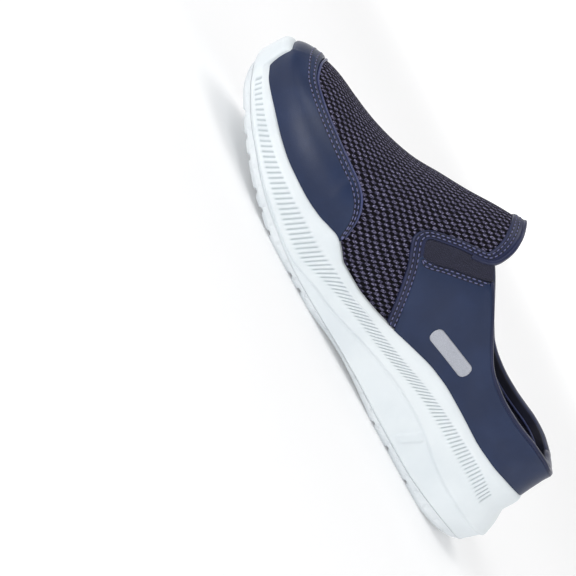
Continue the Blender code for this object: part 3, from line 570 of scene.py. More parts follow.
    def on_cloth(self, spots: Array) -> tuple[Array, Array]:
        """Find places of the flat cloth on the form.

        Args:
            spots: (x, station) on the cloth, behind the toe pivot.

        Returns:
            The s and u of each place.
        """
        s, aim = self.at_station(spots[..., 1]), np.abs(spots[..., 0])
        low, high = np.zeros_like(aim), np.ones_like(aim)
        for _ in range(20):
            middle = (low + high) / 2
            longer = np.abs(self.cloth(s, middle)[..., 0]) > aim
            low, high = np.where(longer, middle, low), np.where(longer, high, middle)
        return s, (low + high) / 2

    def cloth(self, s: Array, u: Array) -> Array:
        """Where points of the vamp lie on the flat cloth.

        Args:
            s: distances along the outline.
            u: shares of the half sections there.

        Returns:
            Metres from the ridge, with the side's sign, and the station of each point.
        """
        curve = self.section(s)
        steps = [on_curve(curve, u + (1 - u) * k / 16) for k in range(17)]
        arc = sum(np.linalg.norm(b - a, axis=-1) for a, b in zip(steps, steps[1:]))
        here = steps[0]
        shares = np.linspace(1, 0, 60)
        spine = on_curve(self.section(np.full(60, self.end)), shares)
        edge = on_curve(self.section(np.full(60, float(self.at_station(TOE_PIVOT * LENGTH)))), shares)
        run = running(edge)
        far = np.linalg.norm((edge - edge[0])[:, ::2], axis=1)
        drop = np.interp(here[..., 1], spine[:, 1], spine[:, 2]) - here[..., 2]
        chord = np.hypot(here[..., 0] - RIDGE_OFFSET * HALF_WIDTH, drop)
        fan = self.at(s, UPPER_FOOT)[..., 1] > TOE_PIVOT * LENGTH
        aside = np.where(fan, np.interp(chord, np.maximum.accumulate(far), run), arc)
        return np.stack([aside * self.side.value, here[..., 1]], -1)


def flanks() -> tuple[Flank, Flank]:
    """Both sides of the outline."""
    points = closed_outline()
    along = unit(np.roll(points, -1, axis=0) - np.roll(points, 1, axis=0))
    normals = np.stack([along[:, 1], -along[:, 0]], 1)
    toe = int(points[:, 1].argmax())
    medial = np.r_[0, np.arange(len(points) - 1, toe - 1, -1)]
    return (
        Flank(Side.LATERAL, points[: toe + 1], normals[: toe + 1]),
        Flank(Side.MEDIAL, points[medial], normals[medial]),
    )


def place(points: Array) -> Array:
    """World places of points in (x, station, z), with the origin under the middle of the sole."""
    return np.stack([points[..., 0] - MIDDLE, LENGTH / 2 - points[..., 1], points[..., 2]], -1)


LATERAL, MEDIAL = flanks()
MIDDLE = (LATERAL.points[:, 0].max() + MEDIAL.points[:, 0].min()) / 2


def lay(rows: Array, uv: Array | None = None, mesh: bmesh.types.BMesh | None = None) -> bmesh.types.BMesh:
    """A grid whose vertices are moved to rows of places.

    Args:
        rows: places by row and column.
        uv: texture places by row and column, in metres.
        mesh: the mesh that takes the grid, or None for a new one.

    Returns:
        The mesh.
    """
    mesh = bmesh.new() if mesh is None else mesh
    layer = mesh.loops.layers.uv.verify()
    high, wide = rows.shape[0] - 1, rows.shape[1] - 1
    made = bmesh.ops.create_grid(mesh, x_segments=wide, y_segments=high, size=0.5)["verts"]
    for vert in made:
        i, j = round((vert.co.x + 0.5) * wide), round((vert.co.y + 0.5) * high)
        vert.co = rows[j, i]
        if uv is not None:
            for loop in vert.link_loops:
                loop[layer].uv = uv[j, i]
    return mesh


def both(lateral: Array, medial: Array) -> Array:
    """Columns that run from the heel round the lateral side, the toe and the medial side back to the heel."""
    return np.concatenate([lateral, medial[:, -2::-1]], axis=1)


def round_heel(lateral: Array, medial: Array) -> Array:
    """Columns that run from the lateral front round the heel to the medial front."""
    return np.concatenate([lateral[:, ::-1], medial[:, 1:]], axis=1)


def across(lateral: Array, medial: Array, steps: int) -> Array:
    """Straight rows from the lateral edge to the medial edge."""
    shares = np.linspace(0, 1, steps + 1)[:, None, None]
    return lateral[None] * (1 - shares) + medial[None] * shares


def soften(rows: Array, passes: int) -> Array:
    """Round a profile's corners along the first axis, and keep its ends."""
    for _ in range(passes):
        rows = np.concatenate([rows[:1], 0.25 * rows[:-2] + 0.5 * rows[1:-1] + 0.25 * rows[2:], rows[-1:]])
    return rows


def closed_loop(corners: Array, count: int) -> Array:
    """Even points on a closed polygon, the first one repeated at the end."""
    loop = np.concatenate([corners, corners[:1]])
    arc = running(loop)
    return read_along(loop, arc, np.linspace(0, arc[-1], count + 1))


def sweep(path: Array, out: Array, up: Array, profile: Array) -> bmesh.types.BMesh:
    """A closed profile along a path, with filled ends.

    Args:
        path: places along the sweep.
        out: directions of the profile's first axis, one for each place.
        up: directions of its second axis.
        profile: a closed loop of (out, up), the first point repeated at the end.

    Returns:
        The mesh, with u round the profile and v along the path, in metres.
    """
    rows = path[None] + profile[:, 0, None, None] * out[None] + profile[:, 1, None, None] * up[None]
    uv = np.stack(np.meshgrid(running(profile), running(path), indexing="ij"), -1)
    mesh = lay(rows, uv)
    bmesh.ops.remove_doubles(mesh, verts=mesh.verts, dist=1e-6)
    rims = [edge for edge in mesh.edges if edge.is_boundary]
    bmesh.ops.holes_fill(mesh, edges=rims, sides=0)
    return mesh


def cord_profile(radius: float) -> Array:
    """A round profile."""
    turn = np.linspace(0, 2 * math.pi, 11)
    return radius * np.stack([np.cos(turn), np.sin(turn)], 1)


def linear(colour: Colour) -> tuple[float, float, float, float]:
    """A colour of 0 to 255 as a screen shows it, in Blender's linear numbers."""
    shares = [value / 255 for value in colour]
    return (*(s / 12.92 if s <= 0.04045 else ((s + 0.055) / 1.055) ** 2.4 for s in shares), 1.0)


def new_object(name: str, data: bpy.types.ID) -> bpy.types.Object:
    """An object with this data, linked to the scene."""
    item = bpy.data.objects.new(name, data)
    bpy.context.collection.objects.link(item)
    return item


def to_object(mesh: bmesh.types.BMesh, name: str) -> bpy.types.Object:
    """A smoothly shaded object made of a mesh, which is used up."""
    data = bpy.data.meshes.new(name)
    mesh.to_mesh(data)
    mesh.free()
    data.shade_smooth()
    return new_object(name, data)


class Graph:
    """A material's nodes under construction."""

    def __init__(self, name: str) -> None:
        """Start from a plain Principled material."""
        self.material = bpy.data.materials.new(name)
        self.material.use_nodes = True
        self.tree = self.material.node_tree
        self.shader = self.tree.nodes["Principled BSDF"]

    def put(self, socket: bpy.types.NodeSocket, value: object) -> None:
        """Link an output to a socket, or set the socket's own value."""
        if isinstance(value, bpy.types.NodeSocket):
            self.tree.links.new(value, socket)
        else:
            socket.default_value = value

    def coordinates(self, output: str) -> bpy.types.NodeSocket:
        """An output of a Texture Coordinate node."""
        return self.tree.nodes.new("ShaderNodeTexCoord").outputs[output]

    def split(self, vector: bpy.types.NodeSocket) -> tuple[bpy.types.NodeSocket, bpy.types.NodeSocket]:
        """The first two parts of a vector."""
        node = self.tree.nodes.new("ShaderNodeSeparateXYZ")
        self.put(node.inputs[0], vector)
        return node.outputs[0], node.outputs[1]

    def math(self, operation: str, *values: object, clamp: bool = False) -> bpy.types.NodeSocket:
        """A Math node's result."""
        node = self.tree.nodes.new("ShaderNodeMath")
        node.operation = operation
        node.use_clamp = clamp
        for socket, value in zip(node.inputs, values):
            self.put(socket, value)
        return node.outputs[0]

    def wave(self, length: bpy.types.NodeSocket, pitch: float) -> bpy.types.NodeSocket:
        """A cosine that repeats at each pitch."""
        return self.math("COSINE", self.math("MULTIPLY", length, 2 * math.pi / pitch))

    def band(self, value: bpy.types.NodeSocket, low: float, high: float) -> bpy.types.NodeSocket:
        """A soft step from 0 at low to 1 at high."""
        node = self.tree.nodes.new("ShaderNodeMapRange")
        node.interpolation_type = "SMOOTHSTEP"
        for name, given in (("Value", value), ("From Min", low), ("From Max", high)):
            self.put(node.inputs[name], given)
        return node.outputs[0]

    def noise(self, vector: bpy.types.NodeSocket, size: float, detail: float = 3.0) -> bpy.types.NodeSocket:
        """Noise whose spots are about the size given, in metres."""
        node = self.tree.nodes.new("ShaderNodeTexNoise")
        for name, value in (("Vector", vector), ("Scale", 1 / size), ("Detail", detail), ("Roughness", 0.55)):
            self.put(node.inputs[name], value)
        return node.outputs[0]

    def cells(self, vector: bpy.types.NodeSocket, size: float) -> bpy.types.NodeSocket:
        """Distance from the middles of small cells, about 0 to 0.7."""
        node = self.tree.nodes.new("ShaderNodeTexVoronoi")
        for name, value in (("Vector", vector), ("Scale", 1 / size)):
            self.put(node.inputs[name], value)
        return node.outputs["Distance"]

    def mix(self, share: object, first: object, second: object) -> bpy.types.NodeSocket:
        """A colour between two."""
        node = self.tree.nodes.new("ShaderNodeMix")
        node.data_type = "RGBA"
        for index, value in ((0, share), (6, first), (7, second)):
            self.put(node.inputs[index], value)
        return node.outputs[2]

    def bump(self, height: bpy.types.NodeSocket, depth: float, under: object = None) -> bpy.types.NodeSocket:
        """A normal bent by a relief of this depth in metres, over another bump or none."""
        node = self.tree.nodes.new("ShaderNodeBump")
        node.inputs["Strength"].default_value = 1.0
        node.inputs["Distance"].default_value = depth
        self.put(node.inputs["Height"], height)
        if under is not None:
            self.put(node.inputs["Normal"], under)
        return node.outputs[0]

    def dress(self, constants: dict[str, float], **linked: bpy.types.NodeSocket) -> bpy.types.Material:
        """Set the shader's own numbers and link what varies over the surface."""
        for name, value in constants.items():
            self.shader.inputs[name].default_value = value
        for name, value in linked.items():
            self.put(self.shader.inputs[name.replace("_", " ")], value)
        return self.material


@dataclass(frozen=True)
class Leather:
    """Smooth coated leather: fine grain, a soft sheen, and tone that drifts a little."""

    base: Colour = (18, 34, 66)
    light: Colour = (23, 40, 74)
    roughness: float = 0.42
    grain: float = 0.0006
    relief: float = 0.00003

    def build(self, name: str) -> bpy.types.Material:
        """Make the material."""
        graph = Graph(name)
        place_of = graph.coordinates("Object")
        drift = graph.band(graph.noise(place_of, 0.02, 4), 0.35, 0.7)
        grain = graph.cells(place_of, self.grain)
        colour = graph.mix(drift, linear(self.base), linear(self.light))
        colour = graph.mix(graph.math("MULTIPLY", grain, 0.25), colour, linear(self.base))
        scuff = graph.math("MULTIPLY_ADD", graph.noise(place_of, 0.006), 0.14, self.roughness - 0.07)
        ripple = graph.bump(graph.noise(place_of, 0.004, 2), 0.00008)
        relief = graph.bump(grain, self.relief, ripple)
        constants = {"Coat Weight": 0.15, "Coat Roughness": 0.35, "Specular IOR Level": 0.3}
        return graph.dress(constants, Base_Color=colour, Roughness=scuff, Normal=relief)


@dataclass(frozen=True)
class Net:
    """Knitted mesh: staggered holes between crossing yarns, with a painted highlight on the yarns' crests,
    read in the cloth's own metres.
    """

    pitch: float = 0.0037
    row: float = 0.0028
    ground: Colour = (4, 3, 9)
    yarn: Colour = (30, 28, 50)
    # painted highlight on the yarns' crests
    light: Colour = (150, 146, 178)

    def build(self, name: str) -> bpy.types.Material:
        """Make the material."""
        graph = Graph(name)
        cloth = graph.coordinates("UV")
        drift = graph.math("MULTIPLY_ADD", graph.noise(cloth, 0.005, 2), 0.0012, -0.0006)
        side, along = graph.split(cloth)
        side, along = graph.math("ADD", side, drift), graph.math("SUBTRACT", along, drift)
        pattern = graph.math("MULTIPLY", graph.wave(side, self.pitch), graph.wave(along, 2 * self.row))
        yarn = graph.band(pattern, 0.30, -0.25)
        # The crests of the yarns, which get the painted highlight below.
        crest = graph.band(pattern, 0.08, -0.40)
        twist = graph.wave(graph.math("MULTIPLY_ADD", side, 1.7, along), 0.0011)
        fuzz = graph.band(graph.noise(cloth, 0.0008, 3), 0.42, 0.68)
        strand = graph.math("MULTIPLY_ADD", twist, 0.3, fuzz, clamp=True)
        colour = graph.mix(yarn, linear(self.ground), linear(self.yarn))
        # Painted highlight on the crests, broken by the yarns' twist.
        colour = graph.mix(graph.math("MULTIPLY", crest, strand, clamp=True), colour, linear(self.light))
        relief = graph.bump(strand, 0.00025, graph.bump(yarn, 0.0009))
        constants = {"Roughness": 0.8, "Specular IOR Level": 0.15}
        return graph.dress(constants, Base_Color=colour, Normal=relief)


@dataclass(frozen=True)
class Woven:
    """Plain cloth with fine crossed threads, for linings, elastic and the footbed."""

    base: Colour
    light: Colour
    pitch: float
    row: float
    relief: float
    pile: float = 0.0
    coordinates: str = "UV"

    def build(self, name: str) -> bpy.types.Material:
        """Make the material."""
        graph = Graph(name)
        cloth = graph.coordinates(self.coordinates)
        side, along = graph.split(cloth)
        weave = graph.math("MULTIPLY", graph.wave(side, self.pitch), graph.wave(along, self.row))
        fuzz = graph.noise(cloth, 0.0009, 4)
        height = graph.math("MULTIPLY_ADD", weave, 0.5 - self.pile / 2, fuzz)
        if self.pile:
            loops = graph.math("MULTIPLY", graph.cells(cloth, 0.0013), -self.pile)
            height = graph.math("ADD", height, loops)
        drift = graph.math("MULTIPLY_ADD", graph.noise(cloth, 0.015), 0.35, -0.15)
        share = graph.math("ADD", graph.math("MULTIPLY", height, 0.7), drift, clamp=True)
        colour = graph.mix(share, linear(self.base), linear(self.light))
        relief = graph.bump(height, self.relief)
        return graph.dress({"Roughness": 0.9, "Sheen Weight": 0.1}, Base_Color=colour, Normal=relief)


@dataclass(frozen=True)
class Moulded:
    """Moulded foam or rubber: an even colour with faint clouding, painted shade in its grooves, and a fine
    skin.
    """

    base: Colour
    shade: Colour
    # painted shade at the bottom of the grooves
    groove: Colour
    roughness: float
    skin: float = 0.00002

    def build(self, name: str) -> bpy.types.Material:
        """Make the material; the second number of the piece's UV says how deep in a groove a point is, and so
        how much painted shade it gets.
        """
        graph = Graph(name)
        place_of = graph.coordinates("Object")
        cloud = graph.band(graph.noise(place_of, 0.03, 4), 0.35, 0.75)
        colour = graph.mix(cloud, linear(self.base), linear(self.shade))
        depth = graph.split(graph.coordinates("UV"))[1]
        # Painted shade: darker the deeper a point lies in a groove.
        colour = graph.mix(graph.band(depth, 0.0, 1.0), colour, linear(self.groove))
        matt = graph.math("MULTIPLY_ADD", graph.noise(place_of, 0.01), 0.12, self.roughness - 0.06)
        relief = graph.bump(graph.noise(place_of, 0.0009, 3), self.skin)
        constants = {"Specular IOR Level": 0.4}
        return graph.dress(constants, Base_Color=colour, Roughness=matt, Normal=relief)


@dataclass(frozen=True)
class Thread:
    """Sewing thread, with its twist as a fine relief."""

    base: Colour = (62, 66, 108)
    light: Colour = (104, 108, 150)

    def build(self, name: str) -> bpy.types.Material:
        """Make the material."""
        graph = Graph(name)
        place_of = graph.coordinates("Object")
        ply = graph.noise(place_of, 0.0003, 2)
        colour = graph.mix(graph.band(ply, 0.35, 0.65), linear(self.base), linear(self.light))
        return graph.dress({"Roughness": 0.6}, Base_Color=colour, Normal=graph.bump(ply, 0.00005))


@dataclass(frozen=True)
class Reflective:
    """Silver-grey film with a fine glitter of beads."""

    base: Colour = (158, 161, 170)
    light: Colour = (190, 193, 202)

    def build(self, name: str) -> bpy.types.Material:
        """Make the material."""
        graph = Graph(name)
        place_of = graph.coordinates("Object")
        beads = graph.cells(place_of, 0.0003)
        colour = graph.mix(graph.band(beads, 0.1, 0.6), linear(self.light), linear(self.base))
        constants = {"Roughness": 0.38, "Metallic": 0.35}
        return graph.dress(constants, Base_Color=colour, Normal=graph.bump(beads, 0.00002))


class Facing(Enum):
    """How a piece's faces are turned outwards."""

    CLOSED = "closed"
    SHELL = "shell"


@dataclass
class Maker:
    """Turns finished meshes into pieces of the dressed shoe."""

    materials: dict[str, bpy.types.Material] = field(default_factory=dict)

    def finish(self, name: str, finish: object) -> bpy.types.Material:
        """The material of this name, made once."""
        if name not in self.materials:
            self.materials[name] = finish.build(name)
        return self.materials[name]

    def piece(
        self,
        mesh: bmesh.types.BMesh,
        name: str,
        slot: str,
        materials: tuple[bpy.types.Material, ...],
        replaced: tuple[str, ...] = (),
        facing: Facing = Facing.SHELL,
        weld: float = 1e-6,
        wall: float = 0.0,
    ) -> bpy.types.Object:
        """Weld, turn, dress and attach a piece, and hide the CAD parts it stands for.

        Args:
            mesh: the piece's mesh, which is used up.
            name: the piece's name.
            slot: the record's material slot; not used.
            materials: its finishes, the second one for the inside of a wall.
            replaced: the CAD nodes it stands for.
            facing: whether the mesh is closed or a sheet round the shoe.
            weld: how near vertices are made one.
            wall: thickness that a sheet gets inwards.

        Returns:
            The new object.
        """
        bmesh.ops.remove_doubles(mesh, verts=mesh.verts, dist=weld)
        bmesh.ops.dissolve_degenerate(mesh, edges=mesh.edges, dist=1e-7)
        bmesh.ops.recalc_face_normals(mesh, faces=mesh.faces)
        if facing is Facing.SHELL:
            middle = Vector((0, 0, 0.4 * INSTEP_HEIGHT))
            turned = 0.0
            for face in mesh.faces:
                centre = face.calc_center_median()
                middle.y = min(max(centre.y, -0.35 * LENGTH), 0.35 * LENGTH)
                turned += face.normal.dot(centre - middle) * face.calc_area()
            if turned < 0:
                bmesh.ops.reverse_faces(mesh, faces=mesh.faces)
        item = to_object(mesh, name)
        for material in materials:
            item.data.materials.append(material)
        if wall:
            modifier = item.modifiers.new("wall", "SOLIDIFY")
            modifier.thickness = wall
            modifier.offset = -1
            modifier.use_even_offset = True
            modifier.thickness_clamp = 1.5
            modifier.material_offset = len(materials) - 1
            modifier.material_offset_rim = len(materials) - 1
        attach(item, "root")
        if replaced:
            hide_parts(*replaced)
        LOG.info("%s: %d faces", name, len(item.data.polygons))
        return item


@dataclass(frozen=True)
class Crease:
    """A soft trough (depth under 0) or ridge in a panel, seen from the side."""

    station: float
    height: float
    turn: float
    length: float
    width: float
    depth: float

    def press(self, station: Array, z: Array) -> Array:
        """How far it moves the surface out at each place.

        Args:
            station: stations in metres.
            z: heights in metres.

        Returns:
            Offsets along the normal.
        """
        tilt = math.radians(self.turn)
        ahead, above = station - self.station, z - self.height
        along = (ahead * math.cos(tilt) + above * math.sin(tilt)) / (self.length / 2)
        aside = (above * math.cos(tilt) - ahead * math.sin(tilt)) / self.width
        return self.depth * np.exp(-(aside**2)) * np.exp(-(along**4))


def pressed(creases: tuple[Crease, ...], station: Array, z: Array) -> Array:
    """The creases' offsets together."""
    return sum((crease.press(station, z) for crease in creases), np.zeros_like(z))


@dataclass(frozen=True)
class Stitching:
    """A row of short raised stitches."""

    pitch: float = 0.0030
    length: float = 0.0024
    width: float = 0.00090
    height: float = 0.00070
    # size of the dark strip under the stitches, which is painted shadow
    line_width: float = 0.0013
    line_height: float = 0.00018

    def press(self, mesh: bmesh.types.BMesh, path: Array, facing: Array) -> None:
        """Add a dark strip under the stitches, painted shadow between them, with the piece's second finish.

        Args:
            mesh: the mesh that takes it.
            path: places along the row.
            facing: the surface's normals there.
        """
        first = len(mesh.faces)
        aside = unit(np.cross(facing, np.gradient(path, axis=0)))
        turn = np.linspace(0, 2 * math.pi, 7)[:, None, None]
        band = path + np.sin(turn) * facing * self.line_height + np.cos(turn) * aside * self.line_width / 2
        band[:, 0], band[:, -1] = path[0], path[-1]
        lay(band, mesh=mesh)
        mesh.faces.ensure_lookup_table()
        for face in mesh.faces[first:]:
            face.material_index = 1

    def sew(self, mesh: bmesh.types.BMesh, path: Array, facing: Array) -> None:
        """Add the strip of painted shadow and its stitches along a path.

        Args:
            mesh: the mesh that takes them.
            path: places along the row.
            facing: the surface's normals there.
        """
        self.press(mesh, path, facing)
        arc = running(path)
        count = max(1, int(arc[-1] / self.pitch))
        for middle in (np.arange(count) + 0.5) * arc[-1] / count:
            ends = [read_along(path, arc, middle + way * self.length / 2) for way in (-1, 1)]
            up = read_along(facing, arc, middle)
            way = unit(ends[1] - ends[0])
            side = unit(np.cross(up, way))
            up = np.cross(way, side)
            axes = (side * self.width / 2, up * self.height / 2, way * self.length / 2)
            matrix = Matrix.Identity(4)
            for k, axis in enumerate((*axes, (ends[0] + ends[1]) / 2)):
                matrix.col[k][:3] = axis
            bmesh.ops.create_uvsphere(mesh, u_segments=7, v_segments=5, radius=1, matrix=matrix)


@dataclass(frozen=True)
class Band:
    """One level of the sole's profile, and the rows up to the next one."""

    inset: Inset
    level: str
    offset: float = 0.0
    lean: float = 0.0
    steps: int = 1

    def line(self, flank: Flank, s: Array) -> Array:
        """The level's points in (x, station, z)."""
        return flank.raised(s, self.inset, flank.height(s, self.level) + self.offset)


@dataclass
class Sole:
    """The white cupsole with its rib band and toe bumper, and the tread layer under it."""

    maker: Maker
    heel_columns: int = 48
    rib_columns: int = 6
    toe_columns: tuple[int, int, int] = (4, 12, 24)  # up to the bumper's ramp, on it, and round the toe
    panel_band: int = 0
    rib_band: int = 3
    notch_band: int = 1
    rib_depth: float = 0.0009
    rib_growth: float = 0.1  # how much wider the ribs get to the toe
    rib_fade: float = 0.16  # share of the ribs' height in which their grooves run out
    panel_step: float = 0.0011
    lip_drop: float = 0.0038
    rim_crown: float = 0.0010
    seal: float = 0.0004  # how closely the rim's inner edge meets the leather
    tread_rise: float = 0.0022
    groove_width: float = 0.0028
    groove_depth: float = 0.0022
    tread_pitch: float = 0.0075
    tread_depth: float = 0.0009
    tread_line: tuple[float, float] = (0.0014, 0.0008)  # half width of a tread line, and its slope
    tread_rows: int = 56
    tread_margin: tuple[float, float] = (0.04, 0.06)  # shares of the width without it, and to its full depth
    zigzag_length: float = 0.016
    zigzag_reach: float = 0.010
    groove_shares: tuple[float, ...] = (0.6, 0.5, 0.35, 0.15)  # the grooves' depth up the tread's edge
    bar_width: float = 0.0055
    bar_proud: float = 0.0007
    bar_slope: float = 0.0012
    bar_fade: float = 0.1
    bar_foot: tuple[float, float] = (0.268, 0.25)
    bar_head: tuple[float, float] = (0.252, 0.90)
    notch_pitch: float = 0.0105
    notch_width: float = 0.0016
    notch_depth: float = 0.0007
    notch_shares: tuple[float, float] = (0.1, 0.75)
    # The third colour of each finish is painted shade for the grooves.
    foam: Moulded = Moulded((221, 227, 230), (213, 220, 224), (182, 191, 196), 0.46)
    rubber: Moulded = Moulded((220, 225, 228), (210, 216, 220), (180, 188, 192), 0.55)

    def columns(self, flank: Flank) -> Array:
        """Distances s of the sole's columns, a few for each rib."""
        first = np.interp(RIB_FIRST * LENGTH, flank.points[:, 1], flank.arc)
        last = np.interp(RIB_LAST * LENGTH, flank.points[:, 1], flank.arc)
        ramp = flank.end - BUMPER_HALF - BUMPER_RAMP
        last = min(last, ramp - 2 * self.rib_depth)
        share = np.linspace(0, 1, RIBS * self.rib_columns + 1)
        share = (1 - self.rib_growth) * share + self.rib_growth * share**2
        heel = np.linspace(0, first, self.heel_columns, endpoint=False)
        stops = (last, ramp, flank.end - BUMPER_HALF, flank.end)
        toe = [np.linspace(a, b, count + 1)[1:] for a, b, count in zip(stops, stops[1:], self.toe_columns)]
        return np.concatenate([heel, first + (last - first) * share, *toe])

    def ribs(self) -> Array:
        """How deep the groove between the ribs is at each column, 0 to 1."""
        phase = np.arange(RIBS * self.rib_columns + 1) / self.rib_columns
        groove = 1 - np.abs(np.sin(math.pi * phase)) ** 0.85
        return np.concatenate([np.zeros(self.heel_columns), groove, np.zeros(sum(self.toe_columns))])

    def side(self, flank: Flank, bands: tuple[Band, ...], relief: Callable[..., Array]) -> Array:
        """Rows of one side's profile from its bands, with a relief pressed into it.

        Args:
            flank: the side.
            bands: the profile's levels.
            relief: gives the outward offset from the flank, the band's index, the share in it and s.

        Returns:
            World places by row and column.
        """
        s = self.columns(flank)
        shift = RIB_LEAN * ease(LEAN, "share", flank.station(s) / LENGTH)
        rows, offsets = [], []
        for index, (low, high) in enumerate(zip(bands, bands[1:])):
            for share in np.linspace(0, 1, low.steps, endpoint=False):
                moved = s - (low.lean + (high.lean - low.lean) * share) * shift
                foot, head = (band.line(flank, moved) for band in (low, high))
                rows.append(foot * (1 - share) + head * share)
                out = np.concatenate([flank.read(flank.normals, moved), np.zeros((len(s), 1))], 1)
                offsets.append(out * relief(flank, index, share, s)[:, None])
        rows.append(bands[-1].line(flank, s - bands[-1].lean * shift))
        offsets.append(np.zeros((len(s), 3)))
        return place(soften(np.stack(rows), 2) + np.stack(offsets))

    def groove_shade_depths(self, flank: Flank, bands: tuple[Band, ...]) -> Array:
        """For the finish's painted groove shade: the distance s, and how deep in a groove each point of one
        side lies.
        """
        s = self.columns(flank)
        rows = []
        for index, band in enumerate(bands[:-1]):
            for share in np.linspace(0, 1, band.steps, endpoint=False):
                relief = self.foam_relief(flank, index, share, s)
                rows.append(np.clip(-relief / self.rib_depth, 0, 1))
        rows.append(np.zeros_like(s))
        return np.stack([np.broadcast_to(s, (len(rows), len(s))), np.stack(rows)], -1)

    def foam_relief(self, flank: Flank, index: int, share: float, s: Array) -> Array:
        """The rib grooves, and the slanted bar on the heel panel.

        Args:
            flank: the side.
            index: the profile's band.
            share: the height in the band, 0 to 1.
            s: the columns.

        Returns:
            Outward offsets by column.
        """
        if index == self.rib_band:
            ends = smoothstep(share / self.rib_fade) * smoothstep((1 - share) / self.rib_fade)
            return -self.rib_depth * self.ribs() * ends
        if index == self.panel_band:
            tall = (share - self.bar_foot[1]) / (self.bar_head[1] - self.bar_foot[1])
            middle = (self.bar_foot[0] + (self.bar_head[0] - self.bar_foot[0]) * tall) * LENGTH
            aside = (self.bar_width / 2 - np.abs(flank.station(s) - middle)) / self.bar_slope
            ends = smoothstep(tall / self.bar_fade + 0.5) * smoothstep((1 - tall) / self.bar_fade + 0.5)
            return self.bar_proud * smoothstep(aside + 0.5) * ends
        return np.zeros_like(s)

    def midsole(self) -> bpy.types.Object:
        """Recessed panel, crease, ribs, lip, rim and foot bed."""
        bands = (
            Band(PARTING, "parting", GAP / 2, 0, 16),
            Band(PANEL_TOP, "crease", -self.panel_step, 0, 4),
            Band(CREASE, "crease", 0, 0, 4),
            Band(RIB_FOOT, "rib_bottom", 0, 0, 14),
            Band(RIB_HEAD, "rib_top", 0, 1, 5),
            Band(LIP, "rim", -self.lip_drop, 1, 5),
            Band(RIM_OUTER, "rim", -self.rim_crown, 1, 4),
            Band(RIM_INNER, "rim", 0, 1, 3),
            Band(RIM_INNER, "floor", 0, 1, 0),
        )
        sides = [self.side(flank, bands, self.foam_relief) for flank in (LATERAL, MEDIAL)]
        for flank, rows in zip((LATERAL, MEDIAL), sides):
            s = self.columns(flank)
            s = s - RIB_LEAN * ease(LEAN, "share", flank.station(s) / LENGTH)
            u = flank.rise_of(s, flank.height(s, "rim") - self.seal)
            rows[-3] = flank.skin(s, u, self.seal)
            rows[-2] = bed(flank, s)
        # How deep each point lies in a groove goes into the UV, for the foam's painted groove shade.
        depths = [self.groove_shade_depths(flank, bands) for flank in (LATERAL, MEDIAL)]
        mesh = lay(both(*sides), both(*depths))
        lay(across(sides[0][0], sides[1][0], 6), mesh=mesh)
        lay(across(sides[0][-1], sides[1][-1], 6), mesh=mesh)
        foam = self.maker.finish("white_foam", self.foam)
        return self.maker.piece(mesh, "cupsole", "midsole", (foam,), ("midsole",), Facing.CLOSED)

    def rubber_relief(self, flank: Flank, index: int, share: float, s: Array) -> Array:
        """Small notches in the tread's edge, by the same arguments as the foam's relief."""
        low, high = self.notch_shares
        if index != self.notch_band or not low < share < high:
            return np.zeros_like(s)
        away = np.abs((s / self.notch_pitch) % 1 - 0.5) * self.notch_pitch
        return -self.notch_depth * smoothstep((self.notch_width - away) / self.notch_width)

    def groove(self, y: Array) -> Array:
        """How much of a cross groove there is at these places, 0 to 1."""
        stations = LENGTH / 2 - y
        away = np.min([np.abs(stations - share * LENGTH) for share in GROOVES], axis=0)
        return smoothstep((self.groove_width * 0.75 - away) / (self.groove_width * 0.5))

    def zigzag(self, sole: Array) -> Array:
        """How high the fine tread lies on rows of the underside, from one edge to the other."""
        x, y = sole[..., 0], sole[..., 1]
        turn = np.abs((x / self.zigzag_length) % 1 - 0.5) * self.zigzag_reach
        away = np.abs(((y + turn) / self.tread_pitch) % 1 - 0.5) * self.tread_pitch
        half, slope = self.tread_line
        fine = smoothstep((half - away) / slope) * (1 - self.groove(y))
        share = np.linspace(0, 1, len(sole))[:, None]
        margin, fade = self.tread_margin
        return self.tread_depth * fine * smoothstep((np.minimum(share, 1 - share) - margin) / fade)

    def outsole(self) -> bpy.types.Object:
        """Tread layer with cross grooves and a fine zigzag tread."""
        bands = (
            Band(BOTTOM_EDGE, "ground", 0, 0, 4),
            Band(TREAD_SIDE, "ground", self.tread_rise, 0, 10),
            Band(PARTING, "parting", -GAP / 2, 0, 0),
        )
        sides = []
        for flank in (LATERAL, MEDIAL):
            rows = self.side(flank, bands, self.rubber_relief)[:, ::2]
            for k, share in enumerate(self.groove_shares):
                rows[k, :, 2] += share * self.groove_depth * self.groove(rows[k, :, 1])
            sides.append(rows)
        mesh = lay(both(*sides))
        lay(across(sides[0][-1], sides[1][-1], 4), mesh=mesh)
        sole = across(sides[0][0], sides[1][0], self.tread_rows)
        sole[..., 2] += self.zigzag(sole)
        lay(sole, mesh=mesh)
        rubber = self.maker.finish("pale_rubber", self.rubber)
        return self.maker.piece(mesh, "tread", "outsole", (rubber,), ("outsole",), Facing.CLOSED)

    def build(self) -> None:
        """Make both layers."""
        self.midsole()
        self.outsole()


